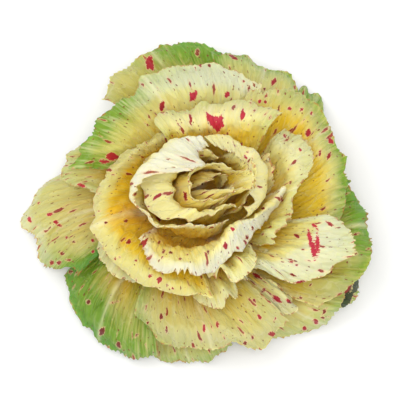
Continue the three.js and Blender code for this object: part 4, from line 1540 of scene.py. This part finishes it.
@dataclass
class Core:
    """The cut stem and the round core that carries the leaves, in metres.

    rings are the widths of the rings in the cut face, each a share of the stem's radius. pith is where the
    brown ring lies in it.
    """

    stem_radius: float = 13.0 * MM
    core_radius: float = 14.5 * MM
    core_height: float = 14.0 * MM
    chamfer: float = 0.8 * MM
    sides: int = 96
    rings: tuple[float, ...] = (0.12, 0.14, 0.16, 0.2, 0.25)
    stem_steps: int = 6
    dome_steps: int = 18
    pith: float = 0.62
    ridges: float = 0.25 * MM
    ridge_length: float = 14.0 * MM
    ridge_count: float = 5.0

    SEED = 401
    SHADE_ANGLE = 40.0
    RIDGE_SHIFT = 40.0
    RIDGE_START = 3.0 * MM
    SMOOTH_TOP = 6.0 * MM
    BROWNED = 1.2 * MM
    BUMP_STRENGTH = 0.4
    BUMP_HEIGHT = 0.4 * MM

    def build(self) -> bpy.types.Object:
        """Model the stem from its cut face up and dress it.

        Returns:
            The finished piece.
        """
        Mesher.clear()
        bpy.ops.mesh.primitive_circle_add(
            vertices=self.sides, radius=self.stem_radius - self.chamfer, fill_type="NGON", calc_uvs=False
        )
        piece = bpy.context.active_object
        piece.name = "stem_core_cut"
        bpy.ops.object.mode_set(mode="EDIT")
        bpy.ops.mesh.select_all(action="SELECT")
        bpy.ops.mesh.flip_normals()
        for width in self.rings:
            bpy.ops.mesh.inset(thickness=width * self.stem_radius, depth=0.0)
        bpy.ops.mesh.select_all(action="DESELECT")
        bpy.ops.mesh.select_mode(type="EDGE")
        bpy.ops.mesh.select_non_manifold()
        self._draw_up()
        bpy.ops.mesh.edge_face_add()
        bpy.ops.mesh.select_all(action="SELECT")
        bpy.ops.mesh.normals_make_consistent(inside=False)
        bpy.ops.object.mode_set(mode="OBJECT")
        self._ridge(piece)
        piece.data.materials.append(self._flesh())
        Mesher.only(piece)
        bpy.ops.object.shade_smooth_by_angle(angle=math.radians(self.SHADE_ANGLE))
        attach(piece, "root")
        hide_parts("stem_core")
        return piece

    def _draw_up(self) -> None:
        """Draw the selected edge up from ring to ring, in edit mode."""
        radius, height = self.stem_radius - self.chamfer, 0.0
        for new_radius, new_height in self._profile():
            scale, rise = new_radius / radius, (0.0, 0.0, new_height - height)
            bpy.ops.mesh.extrude_region_move(TRANSFORM_OT_translate={"value": rise})
            bpy.ops.transform.resize(value=(scale, scale, 1.0), center_override=(0.0, 0.0, 0.0))
            radius, height = new_radius, new_height

    def _profile(self) -> list[tuple[float, float]]:
        """Work out the outline of the stem and the core.

        Returns:
            The radius and the height of each ring above the cut face.
        """
        rings = [(self.stem_radius, self.chamfer)]
        bottom = math.pi - math.asin(self.stem_radius / self.core_radius)
        foot = self.core_height + self.core_radius * math.cos(bottom)
        for k in range(1, self.stem_steps):
            rings.append((self.stem_radius, mix(self.chamfer, foot, k / self.stem_steps)))
        for k in range(self.dome_steps):
            angle = mix(bottom, 0.0, k / self.dome_steps)
            height = self.core_height + self.core_radius * math.cos(angle)
            rings.append((self.core_radius * math.sin(angle), height))
        return rings

    def _ridge(self, piece: bpy.types.Object) -> None:
        """Let the side of the stem run in soft upright ridges; the cut face stays flat.

        Args:
            piece: The stem and the core.
        """
        points = Mesher.read(piece)
        radius = np.hypot(points[:, 0], points[:, 1])
        theta = np.arctan2(points[:, 1], points[:, 0])
        turned = theta * self.ridge_count + self.RIDGE_SHIFT
        ridge = Noise(self.SEED)(turned, points[:, 2] / self.ridge_length)
        side = ease((points[:, 2] - self.chamfer) / self.RIDGE_START) * ease(radius / self.SMOOTH_TOP)
        moved = 1.0 - self.ridges * side * (1.0 + ridge) / np.maximum(radius, 1.0 * MM)
        points[:, :2] *= moved[:, None]
        Mesher.write(piece, points)

    def _flesh(self) -> bpy.types.Material:
        """Make the skin of the stem: pale, browned at the cut, with a ring of fibres.

        Returns:
            The material.
        """
        sheet = Sheet("stem_flesh")
        place = sheet.node("ShaderNodeTexCoord", {}, {}, "Object")
        xyz = sheet.tree.nodes.new("ShaderNodeSeparateXYZ")
        sheet.put(xyz.inputs[0], place)
        x, y, z = (Signal(sheet, socket) for socket in xyz.outputs)
        radius = (x * x + y * y) ** 0.5 / self.stem_radius
        cloud = sheet.node("ShaderNodeTexNoise", {}, {"Vector": place, "Scale": 300.0, "Detail": 4.0})
        upright = sheet.stretch(place, (1.0, 1.0, 0.12))
        fibres = sheet.node("ShaderNodeTexNoise", {}, {"Vector": upright, "Scale": 900.0})
        ring = (1.0 - abs(radius + cloud.swing(0.1) - self.pith) * 9.0).held()
        low = (1.0 - z / self.BROWNED).held()
        browned = (low * (0.15 + ring * 0.5 + (cloud - 0.4) * 0.9)).held()
        colour = sheet.blend((fibres - 0.3).held() * 0.8, paint("#efe9cf"), paint("#d9d39a"))
        colour = sheet.blend(browned, colour, paint("#a9783f"))
        bump = sheet.bump(fibres + ring * 0.5, self.BUMP_STRENGTH, self.BUMP_HEIGHT)
        sheet.finish(colour, bump, 0.45 + cloud * 0.2)
        return sheet.material


@dataclass(frozen=True)
class Lamp:
    """A square lamp that faces the head, in metres and watts."""

    name: str
    place: tuple[float, float, float]
    size: float
    watts: float


LAMPS = (
    Lamp("key", (-0.35, 0.1, 1.0), 0.5, 2.3),
    Lamp("front", (0.02, -0.22, 1.15), 0.3, 3.8),
    Lamp("fill", (0.75, -0.45, 0.7), 0.9, 0.8),
)


@dataclass(frozen=True)
class Studio:
    """The camera at the photograph's angle, soft lights and a pale floor, in metres and degrees.

    pixel is the real size of a pixel of the photograph at the target, and picture its size in pixels.
    """

    elevation: float = 78.0
    target: tuple[float, float, float] = (0.0, 0.0, 0.03)
    distance: float = 1.1
    sensor: float = 36.0
    pixel: float = 0.647 * MM
    picture: float = 400.0
    daylight: float = 0.82
    floor_size: float = 6.0

    def stand(self) -> bpy.types.Object:
        """Set up the camera.

        Returns:
            The camera.
        """
        camera = bpy.data.cameras.new("photograph")
        camera.sensor_width = self.sensor
        camera.lens = self.sensor * self.distance / (self.picture * self.pixel)
        holder = bpy.data.objects.new("photograph", camera)
        bpy.context.scene.collection.objects.link(holder)
        back, _ = self._axes()
        holder.location = Vector(np.array(self.target) + back * self.distance)
        holder.rotation_euler = Vector(-back).to_track_quat("-Z", "Y").to_euler()
        bpy.context.scene.camera = holder
        return holder

    def _axes(self) -> tuple[Array, Array]:
        """Return the directions back to the camera and up in its picture."""
        tilt = math.radians(self.elevation)
        back = np.array([0.0, -math.cos(tilt), math.sin(tilt)])
        return back, np.array([0.0, math.sin(tilt), math.cos(tilt)])

    def project(self, points: Array) -> Array:
        """Return the pixels where points show, in the photograph's frame.

        Args:
            points: The points, in metres.

        Returns:
            One pixel for each point.
        """
        back, up = self._axes()
        away = points - np.array(self.target)
        scale = self.distance / (self.distance - away @ back) / self.pixel
        half = self.picture / 2.0
        return np.stack([half + away[:, 0] * scale, half - (away @ up) * scale], -1)

    def ray(self, pixel: Array) -> tuple[Array, Array]:
        """Return the line of sight of a pixel.

        Args:
            pixel: The pixel, in the photograph's frame.

        Returns:
            Where the line starts, and its direction.
        """
        back, up = self._axes()
        origin = np.array(self.target) + back * self.distance
        right, rise = pixel[0] - self.picture / 2.0, self.picture / 2.0 - pixel[1]
        aim = np.array(self.target) + self.pixel * (right * np.array([1.0, 0.0, 0.0]) + rise * up)
        direction = aim - origin
        return origin, direction / np.linalg.norm(direction)

    def light(self) -> None:
        """Hang the soft lamps and wash the room in white."""
        for lamp in LAMPS:
            self._hang(lamp)
        world = bpy.data.worlds.new("studio")
        world.use_nodes = True
        background = world.node_tree.nodes["Background"]
        background.inputs["Color"].default_value = paint("#ffffff")
        background.inputs["Strength"].default_value = self.daylight
        bpy.context.scene.world = world
        bpy.context.scene.view_settings.view_transform = "Standard"

    def _hang(self, lamp: Lamp) -> None:
        """Hang one lamp that faces the head.

        Args:
            lamp: The lamp.
        """
        panel = bpy.data.lights.new(lamp.name, "AREA")
        panel.size = lamp.size
        panel.energy = lamp.watts
        holder = bpy.data.objects.new(lamp.name, panel)
        holder.location = lamp.place
        aim = Vector(self.target) - Vector(lamp.place)
        holder.rotation_euler = aim.to_track_quat("-Z", "Y").to_euler()
        bpy.context.scene.collection.objects.link(holder)

    def floor(self) -> None:
        """Lay the pale floor."""
        Mesher.clear()
        bpy.ops.mesh.primitive_plane_add(size=self.floor_size, location=(0.0, 0.0, 0.0))
        plane = bpy.context.active_object
        plane.name = "floor"
        sheet = Sheet("floor_paper")
        place = sheet.node("ShaderNodeTexCoord", {}, {}, "Object")
        tooth = sheet.node("ShaderNodeTexNoise", {}, {"Vector": place, "Scale": 400.0})
        sheet.put(sheet.shader.inputs["Base Color"], paint("#fbfbfa"))
        sheet.put(sheet.shader.inputs["Roughness"], tooth * 0.1 + 0.8)
        plane.data.materials.append(sheet.material)


def main() -> None:
    """Build the studio, the core and the leaves, and report each piece."""
    logging.basicConfig(level=logging.INFO, format="%(message)s")
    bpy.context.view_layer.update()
    studio = Studio()
    studio.stand()
    studio.light()
    studio.floor()
    core = Core().build()
    log.info("%s: %d faces", core.name, len(core.data.polygons))
    pieces = [LeafPiece(leaf, seed) for seed, leaf in enumerate(LEAVES, 1)]
    for piece in pieces:
        piece.grow()
    speckles = Speckles(pieces, studio)
    for fleck in FLECKS:
        speckles.lay(fleck)
    skins = {skin.kind: skin.dress() for skin in SKINS}
    for piece in pieces:
        made = piece.finish(skins[piece.leaf.kind])
        log.info("%s: %d faces", made.name, len(made.data.polygons))
    Mesher.clear()


if __name__ == "__main__":
    main()
